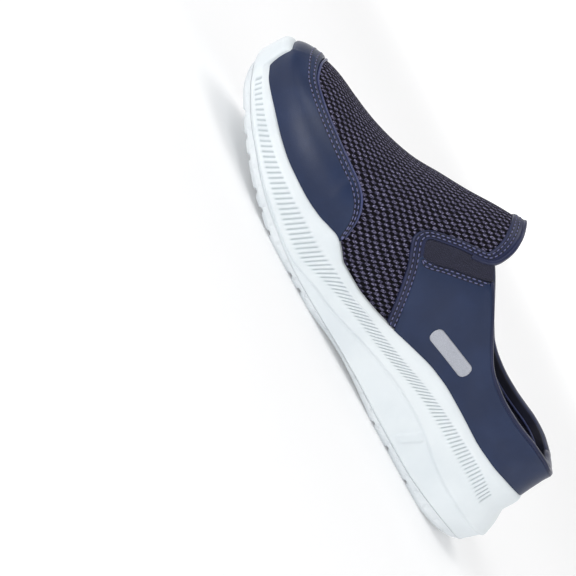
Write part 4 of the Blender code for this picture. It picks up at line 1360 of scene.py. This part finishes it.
@dataclass
class Footbed:
    """The insole, with its edge rounded and its cloth looped."""

    maker: Maker
    play: float = 0.0012
    thickness: float = 0.0040
    round_off: float = 0.0025
    drop: float = 0.0012
    cloth: Woven = Woven((30, 30, 50), (78, 77, 112), 0.0022, 0.0016, 0.0005, 0.5)

    def build(self) -> None:
        """Make the insole from its lateral to its medial edge."""
        inset = tuple(value + WALL + self.play for value in UPPER_FOOT)
        edges = []
        for flank in (LATERAL, MEDIAL):
            heel, toe = (float(flank.at_station(share * LENGTH)) for share in (HEEL_PIVOT, TOE_PIVOT))
            body = flank.at_station(np.linspace(HEEL_PIVOT, TOE_PIVOT, 121)[1:-1] * LENGTH)
            s = np.concatenate([np.linspace(0, heel, 41), body, np.linspace(toe, flank.end, 41)])
            edges.append(place(flank.raised(s, inset, flank.height(s, "floor") + GAP)))
        width = np.linalg.norm(edges[0] - edges[1], axis=1)
        shares = (1 - np.cos(np.linspace(0, math.pi, 61))) / 2
        rows = edges[0][None] * (1 - shares)[:, None, None] + edges[1][None] * shares[:, None, None]
        near = np.minimum(shares, 1 - shares)[:, None] * width[None]
        rows[..., 2] += self.thickness - self.drop * (1 - edge_lift(near, self.round_off))
        rows = np.concatenate([edges[0][None], rows, edges[1][None]])
        mesh = lay(rows, rows[..., :2])
        lay(across(edges[0], edges[1], 2), mesh=mesh)
        cloth = self.maker.finish("looped_cloth", self.cloth)
        self.maker.piece(mesh, "footbed", "insole", (cloth,), ("insole",), Facing.CLOSED)


def shell_rows(offset: float, low: int = 16, high: int = 24) -> tuple[Array, Array, Array]:
    """The upper's skin in two grids: the vamp from side to side, and the rear wall round the heel.

    Args:
        offset: how far out of the form it lies.
        low: rows up to the collar or the flap's corner.
        high: rows from there to the ridge.

    Returns:
        The vamp's places, its places on the flat cloth, and the rear wall's places.
    """
    vamps, cloths, rears = [], [], []
    rise = np.concatenate([np.linspace(0, LOW_SHARE, low + 1)[:-1], np.linspace(LOW_SHARE, 1, high + 1)])
    for flank in (LATERAL, MEDIAL):
        body = flank.at_station(np.linspace(THROAT, TOE_PIVOT, 121) * LENGTH)
        s = np.concatenate([body, np.linspace(body[-1], flank.end, 61)[1:]])
        there, u = flank.vamp(s[None], rise[:, None])
        vamps.append(np.concatenate([bed(flank, s)[None], flank.skin(there, u, offset)]))
        cloth = flank.cloth(there, u)
        cloths.append(np.concatenate([cloth[:1], cloth]))
        heel = float(flank.at_station(HEEL_PIVOT * LENGTH))
        sides = flank.at_station(np.linspace(HEEL_PIVOT, THROAT, 61)[1:] * LENGTH)
        s = np.concatenate([np.linspace(0, heel, 41), sides])
        top = flank.rise_of(s, flank.collar(s))
        wall = flank.skin(s[None], top[None] * np.linspace(0, 1, low + 1)[:, None], offset)
        rears.append(np.concatenate([bed(flank, s)[None], wall]))
    vamp, cloth = (np.concatenate([a, b[-2::-1]]) for a, b in (vamps, cloths))
    return vamp, cloth, round_heel(*rears)


def bed(flank: Flank, s: Array) -> Array:
    """Where the upper's foot meets the sole's bed."""
    return place(flank.raised(s, UPPER_FOOT, flank.height(s, "floor") + GAP))


@dataclass
class Shell:
    """The lined shell of the upper, and the net over its vamp."""

    maker: Maker
    net_depth: float = 0.0006
    weld: float = 0.00005
    net: Net = Net()
    backing: Woven = Woven((14, 14, 24), (34, 34, 54), 0.0012, 0.0012, 0.0002, 0.0, "Object")
    lining: Woven = Woven((20, 20, 36), (52, 52, 82), 0.0010, 0.0014, 0.0003, 0.3, "Object")

    def build(self) -> None:
        """Make the shell and the net."""
        vamp, _, rear = shell_rows(-self.net_depth)
        mesh = lay(rear)
        lay(vamp, mesh=mesh)
        finishes = (
            self.maker.finish("backing_cloth", self.backing),
            self.maker.finish("lining_cloth", self.lining),
        )
        wall = WALL - self.net_depth
        self.maker.piece(mesh, "lined_shell", "upper", finishes, ("upper",), weld=self.weld, wall=wall)
        vamp, cloth, _ = shell_rows(0.0)
        net = self.maker.finish("knitted_net", self.net)
        mesh = lay(vamp[1:-1], cloth[1:-1])
        self.maker.piece(mesh, "vamp_net", "upper", (net,), weld=self.weld, wall=0.8 * self.net_depth)


@dataclass
class Trim:
    """Finishes and stitching that the leather parts share."""

    maker: Maker
    leather: Leather = Leather()
    rolled: Leather = Leather((24, 30, 60), (31, 38, 72), 0.36, 0.0007, 0.00004)
    cord: Leather = Leather((52, 57, 94), (68, 74, 114), 0.36, 0.0007, 0.00004)
    # Near-black strip under the stitches: painted shadow.
    painted_stitch_shadow: Leather = Leather((9, 11, 26), (13, 15, 32), 0.5, 0.0007, 0.00003)
    thread: Thread = Thread()
    stitching: Stitching = Stitching()

    def panel_leather(self) -> bpy.types.Material:
        """The flat panels' finish."""
        return self.maker.finish("navy_leather", self.leather)

    def piping_leather(self) -> bpy.types.Material:
        """The lighter finish of the piping."""
        return self.maker.finish("piping_leather", self.cord)

    def rolled_leather(self) -> bpy.types.Material:
        """The bindings' finish."""
        return self.maker.finish("rolled_leather", self.rolled)

    def stitches(self, name: str, slot: str, rows: list[tuple[Array, Array]]) -> None:
        """Sew rows of stitches, each over its strip of painted shadow, as one piece.

        Args:
            name: the piece's name.
            slot: the material slot of what it is sewn into.
            rows: each row's path and normals.
        """
        mesh = bmesh.new()
        for path, facing in rows:
            self.stitching.sew(mesh, path, facing)
        thread = self.maker.finish("sewing_thread", self.thread)
        line = self.maker.finish("painted_stitch_shadow", self.painted_stitch_shadow)
        self.maker.piece(mesh, name, slot, (thread, line), facing=Facing.CLOSED)


def tucked(rows: Array) -> Array:
    """The same rows with one more a little lower, behind the sole's rim; each place ends with its height."""
    down = np.eye(rows.shape[-1])[-1] * TUCK
    return np.concatenate([rows[:1] - down, rows])


@dataclass
class ToeGuard:
    """Leather round the toe, its piping and its two rows of stitches."""

    trim: Trim
    thickness: float = 0.0012
    edge: float = 0.0011
    fullness: float = 0.0004
    reach: float = 0.0048  # how far the toe's front bulges over the bumper
    reach_start: float = 0.098
    reach_span: float = 0.032
    reach_height: float = 0.010
    columns: int = 200
    rows: int = 30
    line_steps: int = 160
    piping: float = 0.0007
    rows_of_stitches: tuple[float, float] = (0.0014, 0.0033)
    creases: tuple[Crease, ...] = (
        Crease(0.204, 0.040, 62, 0.020, 0.0040, -0.0004),
        Crease(0.214, 0.043, 70, 0.016, 0.0030, 0.0003),
    )

    def start(self, flank: Flank) -> float:
        """The distance at which the guard starts."""
        return float(flank.at_station(GUARD_SEAM["station"][0] * LENGTH))

    def seam(self, flank: Flank, s: Array) -> Array:
        """Height of the guard's upper edge at s."""
        station = flank.at(s, UPPER_FOOT)[..., 1] / LENGTH
        return ease(GUARD_SEAM, "height", station) * GUARD_HEIGHT

    def fuller(self, places: Array, below: Array | float) -> Array:
        """Bulge the toe's front forward.

        Args:
            places: world places.
            below: how far below the seam each one lies, in metres.

        Returns:
            The moved places.
        """
        front = smoothstep((-places[..., 1] - self.reach_start) / self.reach_span)
        places = places.copy()
        places[..., 1] -= self.reach * front * smoothstep(below / self.reach_height)
        return places

    def line(self, flank: Flank, above: float, lift: float) -> tuple[Array, Array]:
        """A line beside the seam.

        Args:
            flank: the side.
            above: its height above the seam.
            lift: how far out of the form it lies.

        Returns:
            Its places and the surface's normals there.
        """
        s = np.linspace(self.start(flank), flank.end, self.line_steps)
        z = np.maximum(self.seam(flank, s) + above, flank.height(s, "rim") + SEAT)
        u = flank.rise_of(s, z)
        low = flank.height(s, "rim")
        share = np.clip((z - low) / np.maximum(self.seam(flank, s) - low, GAP), 0, 1)
        lift = lift + self.fullness * np.sin(math.pi * share)
        return self.fuller(flank.skin(s, u, lift), max(-above, 0)), flank.facing(s, u)

    def whole_line(self, above: float, lift: float) -> tuple[Array, Array]:
        """The line from the lateral rim round the toe to the medial rim."""
        (left, left_out), (right, right_out) = (self.line(flank, above, lift) for flank in (LATERAL, MEDIAL))
        return np.concatenate([left, right[-2::-1]]), np.concatenate([left_out, right_out[-2::-1]])

    def build(self) -> None:
        """Make the guard, its piping and its stitches."""
        grids, cloths = [], []
        share = (1 - (1 - np.linspace(0, 1, self.rows + 1)) ** 2)[:, None]
        for flank in (LATERAL, MEDIAL):
            s = np.linspace(self.start(flank), flank.end, self.columns + 1)
            low = flank.height(s, "rim")
            high = np.maximum(self.seam(flank, s), low + 2 * GAP)
            z = low + (high - low) * share
            u = flank.rise_of(np.broadcast_to(s, z.shape), z)
            station = np.broadcast_to(flank.at(s, UPPER_FOOT)[:, 1], z.shape)
            lift = (GAP + self.thickness) * edge_lift(high - z, self.edge)
            lift = lift + self.fullness * np.sin(math.pi * share) + pressed(self.creases, station, z)
            grids.append(self.fuller(flank.skin(np.broadcast_to(s, z.shape), u, lift), high - z))
            cloths.append(np.stack([np.broadcast_to(s, z.shape) * flank.side.value, z], -1))
        leather = self.trim.panel_leather()
        mesh = lay(tucked(both(*grids)), tucked(both(*cloths)))
        maker, wall = self.trim.maker, SHEET_SHARE * self.thickness
        maker.piece(mesh, "toe_leather", "toe_guard", (leather,), ("toe_guard",), wall=wall)
        path, out = self.whole_line(0.8 * self.piping, 0.5 * self.piping)
        up = unit(np.cross(out, np.gradient(path, axis=0)))
        piping = sweep(path, out, up, cord_profile(self.piping))
        maker.piece(piping, "toe_piping", "toe_guard", (self.trim.piping_leather(),), facing=Facing.CLOSED)
        rows = [self.whole_line(-below, GAP + self.thickness) for below in self.rows_of_stitches]
        self.trim.stitches("toe_stitches", "toe_guard", rows)


@dataclass
class Quarter:
    """Leather round the heel, its stitch rows and the plain reflective bar on its outer side."""

    trim: Trim
    thickness: float = 0.0012
    edge: float = 0.0011
    edge_share: float = 0.4  # share of the height that is left at the panel's edge
    flare: float = 0.0004  # how far the leather stands out under the collar's roll
    flare_height: float = 0.006
    flare_blend: float = 0.01  # share of LENGTH behind the gore in which it comes in
    rows: int = 34
    rows_of_stitches: tuple[float, float] = (0.0012, 0.0034)
    stitch_margins: tuple[float, float] = (0.002, 0.006)  # shares of LENGTH from the gore's ends
    creases: tuple[Crease, ...] = (
        Crease(0.118, 0.056, 35, 0.050, 0.0060, -0.0006),
        Crease(0.098, 0.058, 20, 0.040, 0.0050, 0.0004),
        Crease(0.060, 0.057, -8, 0.050, 0.0050, -0.0005),
        Crease(0.034, 0.058, 75, 0.016, 0.0050, -0.0004),
    )
    bar_station: float = 0.1105
    bar_height: float = 0.0555
    bar_turn: float = -10.0
    bar_size: tuple[float, float] = (0.030, 0.0085)
    bar_thickness: float = 0.0004

    def columns(self, flank: Flank) -> Array:
        """Distances s from the heel end to the panel's front tip."""
        heel = float(flank.at_station(HEEL_PIVOT * LENGTH))
        tip = QUARTER_FRONT["station"][-1]
        return np.concatenate(
            [np.linspace(0, heel, 51), flank.at_station(np.linspace(HEEL_PIVOT, tip, 151)[1:] * LENGTH)]
        )

    def edges(self, flank: Flank, s: Array) -> tuple[Array, Array]:
        """Heights of the panel's lower and upper edges."""
        station = flank.at(s, UPPER_FOOT)[..., 1] / LENGTH
        low = flank.height(s, "rim")
        high = flank.collar(s) - 2 * GAP
        front = ease(QUARTER_FRONT, "height", station) * COLLAR_HEIGHT + 2 * GAP
        gore = ease(GORE_BOTTOM, "height", station) * COLLAR_HEIGHT - 2 * GAP
        forward = station > QUARTER_FRONT["station"][0]
        low = np.where(forward, np.maximum(low, front), low)
        high = np.where(forward, np.minimum(high, gore), high)
        return low, np.maximum(high, low + 2 * GAP)

    def stitch_line(self, flank: Flank, below: float) -> tuple[Array, Array]:
        """A row under the gore, along the panel's upper edge.

        Args:
            flank: the side.
            below: how far under the edge it runs.

        Returns:
            Its places and the surface's normals there.
        """
        (rear, front), stations = self.stitch_margins, QUARTER_FRONT["station"]
        s = flank.at_station(np.linspace(stations[0] + rear, stations[-1] - front, 60) * LENGTH)
        low, high = self.edges(flank, s)
        u = flank.rise_of(s, np.maximum(high - below, (low + high) / 2))
        return flank.skin(s, u, GAP + self.thickness), flank.facing(s, u)

    def bar(self) -> None:
        """One plain rounded bar of reflective film."""
        half = np.array(self.bar_size) / 2
        u_share, v_share = np.meshgrid(np.linspace(-1, 1, 41), np.linspace(-1, 1, 13))
        corner = half[1] * 0.8
        x, y = u_share * half[0], v_share * half[1]
        past = np.maximum(np.abs(x) - (half[0] - corner), 0)
        y = y * (half[1] - corner + np.sqrt(np.maximum(corner**2 - past**2, 0))) / half[1]
        tilt = math.radians(self.bar_turn)
        station = self.bar_station + x * math.cos(tilt) - y * math.sin(tilt)
        z = self.bar_height + x * math.sin(tilt) + y * math.cos(tilt)
        s = LATERAL.at_station(station)
        lift = GAP + self.thickness + self.bar_thickness + pressed(self.creases, station, z)
        mesh = lay(LATERAL.skin(s, LATERAL.rise_of(s, z), lift), np.stack([station, z], -1))
        film = self.trim.maker.finish("reflective_film", Reflective())
        self.trim.maker.piece(
            mesh, "reflective_bar", "quarter_panel", (film,), weld=1e-5, wall=self.bar_thickness
        )

    def build(self) -> None:
        """Make the panel, its stitches and the bar."""
        grids, cloths = [], []
        share = np.linspace(0, 1, self.rows + 1)[:, None]
        for flank in (LATERAL, MEDIAL):
            s = self.columns(flank)
            low, high = self.edges(flank, s)
            z = low + (high - low) * share
            wide = np.broadcast_to(s, z.shape)
            station = np.broadcast_to(flank.at(s, UPPER_FOOT)[:, 1], z.shape)
            full = GAP + self.thickness
            front = full * (self.edge_share + (1 - self.edge_share) * edge_lift(high - z, self.edge))
            back = full + self.flare * smoothstep(1 - (high - z) / self.flare_height)
            share_back = smoothstep((QUARTER_FRONT["station"][0] - station / LENGTH) / self.flare_blend)
            lift = front * (1 - share_back) + back * share_back + pressed(self.creases, station, z)
            grids.append(flank.skin(wide, flank.rise_of(wide, z), lift))
            cloths.append(np.stack([wide * flank.side.value, z], -1))
        mesh = lay(tucked(round_heel(*grids)), tucked(round_heel(*cloths)))
        maker, leather = self.trim.maker, (self.trim.panel_leather(),)
        wall = SHEET_SHARE * self.thickness
        maker.piece(mesh, "quarter_leather", "quarter_panel", leather, ("quarter_panel",), wall=wall)
        depths = self.rows_of_stitches
        rows = [self.stitch_line(flank, below) for flank in (LATERAL, MEDIAL) for below in depths]
        self.trim.stitches("quarter_stitches", "quarter_panel", rows)
        self.bar()


@dataclass
class Gores:
    """Ribbed elastic wedges between the quarter and the flap."""

    trim: Trim
    thickness: float = 0.0005
    rib: float = 0.0011
    rib_height: float = 0.00015
    slope: float = 0.75  # how steeply the ribs fall to the toe
    margins: tuple[float, float] = (0.002, 0.004)  # shares of LENGTH from the ends of the gore's table
    under: float = 0.0028  # how far it runs under the band and the quarter
    under_span: float = 0.03  # share of LENGTH in which it reaches that far
    sunk_share: float = 0.9  # how much flatter it is there
    elastic: Woven = Woven((16, 17, 32), (44, 45, 70), 0.0011, 0.0007, 0.0002)

    def build(self) -> None:
        """Make one wedge on each side."""
        elastic = self.trim.maker.finish("ribbed_elastic", self.elastic)
        for flank in (LATERAL, MEDIAL):
            side = flank.side.name.lower()
            rear, front = GORE_TOP["station"][0], GORE_TOP["station"][-1]
            share = np.linspace(rear + self.margins[0], front - self.margins[1], 129)
            low = ease(GORE_BOTTOM, "height", share) * COLLAR_HEIGHT + GAP
            high = ease(GORE_TOP, "height", share) * COLLAR_HEIGHT - 2 * GAP
            high = np.maximum(high, low + 2 * GAP)
            inside = smoothstep((share - rear) / self.under_span) * self.under
            z = low - inside + (high - low + 2 * inside) * np.linspace(0, 1, 49)[:, None]
            sunk = smoothstep(np.maximum(low - z, z - high) / self.under)
            s = np.broadcast_to(flank.at_station(share * LENGTH), z.shape)
            run = z + share * LENGTH * self.slope
            ribs = self.rib_height * np.cos(2 * math.pi * run / (math.hypot(1, self.slope) * self.rib))
            lift = GAP + (self.thickness + ribs) * (1 - self.sunk_share * sunk)
            rows = flank.skin(s, flank.rise_of(s, z), lift)
            mesh = lay(rows, np.stack([run, np.broadcast_to(share * LENGTH, z.shape)], -1))
            name, node = f"elastic_{side}", f"gore_{side}"
            self.trim.maker.piece(mesh, name, "gore", (elastic,), (node,), wall=self.thickness)


@dataclass
class EdgeBands:
    """Folded bands from the sole up each front seam, round the gore and over the flap's rear edge."""

    trim: Trim
    width: float = 0.0062
    thickness: float = 0.0008
    edge: float = 0.0010
    rounding: float = 0.0022  # how far the band's line is evened out
    spacing: float = 0.0007
    seam_rows: float = 9.0  # rows of the seam's table that the line follows
    flap_start: float = 0.06
    flap_margin: float = 0.0006
    edge_height: float = 0.1  # share of the thickness at the band's edges
    crown: float = 1.05  # and on its back
    stitch_shares: tuple[float, float] = (0.30, 0.62)

    def line(self, flank: Flank) -> Array:
        """The band's middle on the flat cloth, from the rim to the ridge.

        Args:
            flank: the side.

        Returns:
            Even places (x, station) on the cloth.
        """
        steps = np.linspace(0, self.seam_rows, 90)
        names = ("inner", "inner_height", "outer", "outer_height")
        a, az, b, bz = (ease(SEAM_BAND, name, steps, key="row") for name in names)
        s = flank.at_station((a + b) / 2 * LENGTH)
        z = np.maximum((az + bz) / 2 * COLLAR_HEIGHT, flank.height(s, "rim"))
        seam = flank.cloth(s, flank.rise_of(s, z))
        corner = float(flank.at_station(THROAT * LENGTH))
        split = flank.rise_of(corner, flank.collar(corner))
        part = np.linspace(self.flap_start, 1, 60)
        ahead = self.width / 2 + self.flap_margin
        s = flank.at_station(ease(FLAP, "station", part, key="share") * LENGTH + ahead)
        flap = flank.cloth(s, split + (1 - split) * part)
        route = np.concatenate([seam, flap])
        arc = running(route)
        even = np.linspace(0, arc[-1], int(arc[-1] / self.spacing) + 1)
        route = read_along(route, arc, even)
        weights = bell(even[1], self.rounding)
        reach = len(weights) // 2
        before = 2 * route[:1] - route[reach:0:-1]
        beyond = route[-2 : -reach - 2 : -1] * (-1, 1)
        padded = np.concatenate([before, route, beyond])
        return np.stack([np.convolve(padded[:, k], weights, "valid") for k in (0, 1)], 1)

    def spots(self, flank: Flank, shares: Array) -> tuple[Array, Array]:
        """The s and u of lines along the band.

        Args:
            flank: the side.
            shares: where each line lies across the band, 0 to 1.

        Returns:
            Places on the form by line and step.
        """
        line = self.line(flank)
        way = np.gradient(line, axis=0)
        way[-1] = way[-1] * (1, 0)
        way = unit(way)
        aside = flank.side.value * np.stack([-way[:, 1], way[:, 0]], 1)
        return flank.on_cloth(line[None] + (shares[:, None, None] - 0.5) * self.width * aside[None])

    def build(self) -> None:
        """Make one band on each side, up to the ridge."""
        shares = np.linspace(0, 1, 15)
        for flank in (LATERAL, MEDIAL):
            side = flank.side.name.lower()
            s, u = self.spots(flank, shares)
            near = np.minimum(shares, 1 - shares)[:, None] * self.width
            height = self.edge_height + (self.crown - self.edge_height) * edge_lift(near, self.edge)
            lift = GAP + self.thickness * height
            rows = flank.skin(s, u, lift)
            run = np.arange(rows.shape[1]) * self.spacing
            cloth = np.stack(np.broadcast_arrays(shares[:, None] * self.width, run[None]), -1)
            self.trim.maker.piece(
                lay(rows, cloth),
                f"seam_band_{side}",
                "binding",
                (self.trim.rolled_leather(),),
                (f"seam_binding_{side}",),
                wall=SHEET_SHARE * self.thickness,
            )
            s, u = self.spots(flank, np.array(self.stitch_shares))
            paths, outs = flank.skin(s, u, GAP + self.crown * self.thickness), flank.facing(s, u)
            self.trim.stitches(f"seam_stitches_{side}", "binding", list(zip(paths, outs)))


@dataclass
class Bindings:
    """Rolled leather over the collar and the flap's rear edge, with a dark facing and piping inside the
    collar; the facing's darkness is partly the lining's own colour and partly painted shade.
    """

    trim: Trim
    roll: float = 0.0010
    clearance: float = 0.0006
    corner: float = 0.009  # how far ahead of the flap's corner its roll starts
    outer_depth: float = 0.0011
    flap_depth: float = 0.0012
    skirt_rounds: tuple[float, float] = (0.0006, 0.0005)  # cuts on the fold's lower corners, in and out
    facing_sides: tuple[float, float] = (0.0003, 0.0005)  # how far the facing stands in and out of the fold
    facing_top: float = 0.0004
    piping: float = 0.0007
    # The facing inside the collar: as dark as the lining, and partly painted shade.
    inside: Leather = Leather((17, 18, 33), (25, 27, 46), 0.5, 0.0007, 0.00003)

    def profile(self, depth: float) -> Array:
        """The fold over an edge as a closed loop of (out, up), deep on the inside and shallow outside."""
        far, inside = self.clearance + self.roll, -WALL
        turn = np.linspace(0, math.pi, 17)
        middle, half = inside / 2, far - inside / 2
        crest = np.stack([middle + half * np.cos(turn), far * np.sin(turn)], 1)
        skirt = [
            (inside - far, -ROLL_DEPTH + self.skirt_rounds[0]),
            (inside - 0.8 * far, -ROLL_DEPTH),
            (inside - 0.3 * far, -ROLL_DEPTH),
            (middle, -depth),
            (0.6 * far, -depth),
            (far, -depth + self.skirt_rounds[1]),
        ]
        return closed_loop(np.concatenate([crest, skirt]), 44)

    def collar(self) -> None:
        """The roll round the heel, with a thin piping inside it."""
        end = GORE_TOP["station"][0] * LENGTH
        paths, outs, ups = [], [], []
        for flank in (LATERAL, MEDIAL):
            s = np.linspace(0, float(flank.at_station(end)), 161)
            u = flank.rise_of(s, flank.collar(s))
            curve = flank.section(s)
            up = unit(on_curve(curve, u) - on_curve(curve, u - 0.02)) * (1, -1, 1)
            for store, values in ((paths, flank.skin(s, u)), (outs, flank.facing(s, u)), (ups, up)):
                store.append(values[None])
        path, out, up = (round_heel(*parts)[0] for parts in (paths, outs, ups))
        maker = self.trim.maker
        mesh = sweep(path, out, up, self.profile(self.outer_depth))
        leather = (self.trim.rolled_leather(),)
        maker.piece(mesh, "collar_roll", "binding", leather, ("collar_binding",), Facing.CLOSED)
        # The dark facing inside the roll: the lining's colour, and painted shade inside the collar.
        depth = WALL + self.clearance + self.roll
        deep, shallow = -depth - self.facing_sides[0], self.facing_sides[1] - depth
        corners = [(deep, self.facing_top), (deep, -ROLL_DEPTH), (shallow, -ROLL_DEPTH), (shallow, 0)]
        mesh = sweep(path, out, up, closed_loop(np.array(corners), 24))
        lining = maker.finish("collar_lining_and_shade", self.inside)
        maker.piece(mesh, "collar_facing", "binding", (lining,), facing=Facing.CLOSED)
        inner = path - out * depth - up * (ROLL_DEPTH - 0.4 * self.piping)
        mesh = sweep(inner, out, up, cord_profile(self.piping))
        cord = (self.trim.piping_leather(),)
        maker.piece(mesh, "collar_piping", "binding", cord, facing=Facing.CLOSED)

    def throat(self) -> None:
        """The roll over the flap's rear edge and round its corners."""
        band = EdgeBands(self.trim)
        share = np.array([1 + band.flap_margin / band.width])
        paths, outs = [], []
        for flank in (LATERAL, MEDIAL):
            s, u = (values[0] for values in band.spots(flank, share))
            station = flank.station(s)
            front = int(np.argmax(station))
            first = front + int(np.argmax(station[front:] < THROAT * LENGTH + self.corner))
            paths.append(flank.skin(s[first:], u[first:]))
            outs.append(flank.facing(s[first:], u[first:]))
        path, out = (np.concatenate([a, b[-2::-1]]) for a, b in (paths, outs))
        rear = unit(np.cross(np.gradient(path, axis=0), out))
        rear = rear * math.copysign(1, rear[len(rear) // 2, 1])
        mesh = sweep(path, out, rear, self.profile(self.flap_depth))
        rolled = (self.trim.rolled_leather(),)
        self.trim.maker.piece(mesh, "throat_fold", "binding", rolled, ("throat_binding",), Facing.CLOSED)

    def build(self) -> None:
        """Make both bindings."""
        self.collar()
        self.throat()


@dataclass(frozen=True)
class Paper:
    """White paper, whose own faint light far from the shoe keeps it even."""

    base: tuple[float, ...] = (0.93, 0.93, 0.935, 1)
    shade: tuple[float, ...] = (0.90, 0.90, 0.905, 1)
    glow: float = 0.60
    near_glow: float = 0.13
    glow_span: tuple[float, float] = (0.5, 3.0)  # squares of the radii between which the glow grows

    def build(self, name: str) -> bpy.types.Material:
        """Make the material."""
        graph = Graph(name)
        place_of = graph.coordinates("Object")
        colour = graph.mix(graph.noise(place_of, 0.2), self.base, self.shade)
        x, y = graph.split(place_of)
        square = graph.math("ADD", graph.math("MULTIPLY", x, x), graph.math("MULTIPLY", y, y))
        far = graph.band(square, *self.glow_span)
        light = graph.math("MULTIPLY_ADD", far, self.glow - self.near_glow, self.near_glow)
        graph.shader.inputs["Emission Color"].default_value = (1.0, 1.0, 1.0, 1)
        constants = {"Roughness": 0.9, "Specular IOR Level": 0.1}
        return graph.dress(constants, Base_Color=colour, Emission_Strength=light)


@dataclass
class Studio:
    """A round floor of white paper with a soft rim, soft lights, and the camera at the photograph's angle."""

    azimuth: float = 82.0
    elevation: float = 12.5
    distance: float = 0.8895
    target: tuple[float, float, float] = (-0.0012, -0.0252, -0.0147)
    shoe_up: tuple[float, float] = (0.900, 0.435)  # where the shoe's up points in the image
    lens: float = 100.0
    floor_radius: float = 2.2
    rim_radii: tuple[float, float] = (2.3, 3.4)
    rim_height: float = 1.4
    rim_span: float = 1.4
    sky: float = 0.42
    paper: Paper = Paper()

    def floor(self) -> None:
        """A disc that rises softly far from the shoe."""
        flat, rim = np.linspace(0.3, self.floor_radius, 8), np.linspace(*self.rim_radii, 16)
        radii = np.concatenate([[0.0], flat, rim])
        rise = self.rim_height * smoothstep((radii - self.floor_radius) / self.rim_span)
        mesh = bmesh.new()
        verts = [mesh.verts.new((r, 0, z)) for r, z in zip(radii, rise)]
        edges = [mesh.edges.new(pair) for pair in zip(verts, verts[1:])]
        whole = {"axis": (0, 0, 1), "angle": 2 * math.pi, "steps": 64, "use_merge": True}
        bmesh.ops.spin(mesh, geom=verts + edges, cent=(0, 0, 0), **whole)
        bmesh.ops.remove_doubles(mesh, verts=mesh.verts, dist=1e-6)
        bmesh.ops.recalc_face_normals(mesh, faces=mesh.faces)
        if sum(face.normal.z for face in mesh.faces) < 0:
            bmesh.ops.reverse_faces(mesh, faces=mesh.faces)
        floor = to_object(mesh, "studio_floor")
        floor.data.materials.append(self.paper.build("pale_paper"))

    def light(self, name: str, spot: tuple[float, float, float], size: float, power: float) -> None:
        """A square soft light that faces the shoe.

        Args:
            name: its name.
            spot: where it hangs.
            size: the length of its sides.
            power: in watts.
        """
        lamp = bpy.data.lights.new(name, "AREA")
        lamp.size = size
        lamp.energy = power
        item = new_object(name, lamp)
        item.location = spot
        item.rotation_euler = (-Vector(spot)).to_track_quat("-Z", "Y").to_euler()

    def camera(self) -> None:
        """The fixed camera, rolled as the photograph is."""
        turn, rise = math.radians(self.azimuth), math.radians(self.elevation)
        back = Vector((math.sin(turn) * math.cos(rise), -math.cos(turn) * math.cos(rise), math.sin(rise)))
        up = Vector((0, 0, 1))
        up = (up - up.dot(back) * back).normalized()
        level = back.cross(up)
        a, b = Vector(self.shoe_up).normalized()
        right = a * up - b * level
        top = b * up + a * level
        spot = Vector(self.target) + self.distance * back
        data = bpy.data.cameras.new("photo_camera")
        data.lens = self.lens
        data.sensor_width = 36.0
        item = new_object("photo_camera", data)
        axes = Matrix((right, top, back)).transposed().to_4x4()
        item.matrix_world = Matrix.Translation(spot) @ axes
        bpy.context.scene.camera = item

    def build(self) -> None:
        """Set up the floor, the lights and the camera."""
        self.floor()
        world = bpy.data.worlds.new("studio")
        world.use_nodes = True
        sky = world.node_tree.nodes["Background"]
        sky.inputs["Color"].default_value = (1.0, 1.0, 1.0, 1)
        sky.inputs["Strength"].default_value = self.sky
        bpy.context.scene.world = world
        bpy.context.scene.view_settings.view_transform = "Standard"
        self.light("key", (1.0, -1.3, 1.5), 0.8, 10.0)
        self.light("side", (1.1, -0.85, 0.16), 0.30, 3.6)
        self.light("fill", (0.9, 1.2, 0.9), 1.2, 4.0)
        self.light("top", (-0.5, -0.2, 1.8), 1.2, 9.0)
        self.camera()


def main() -> None:
    """Build the shoe's pieces in order, then the studio."""
    logging.basicConfig(level=logging.INFO, format="%(message)s")
    maker = Maker()
    trim = Trim(maker)
    parts = (
        Sole(maker),
        Footbed(maker),
        Shell(maker),
        ToeGuard(trim),
        Quarter(trim),
        Gores(trim),
        EdgeBands(trim),
        Bindings(trim),
        Studio(),
    )
    for part in parts:
        part.build()
        LOG.info("%s built", type(part).__name__)


if __name__ == "__main__":
    main()
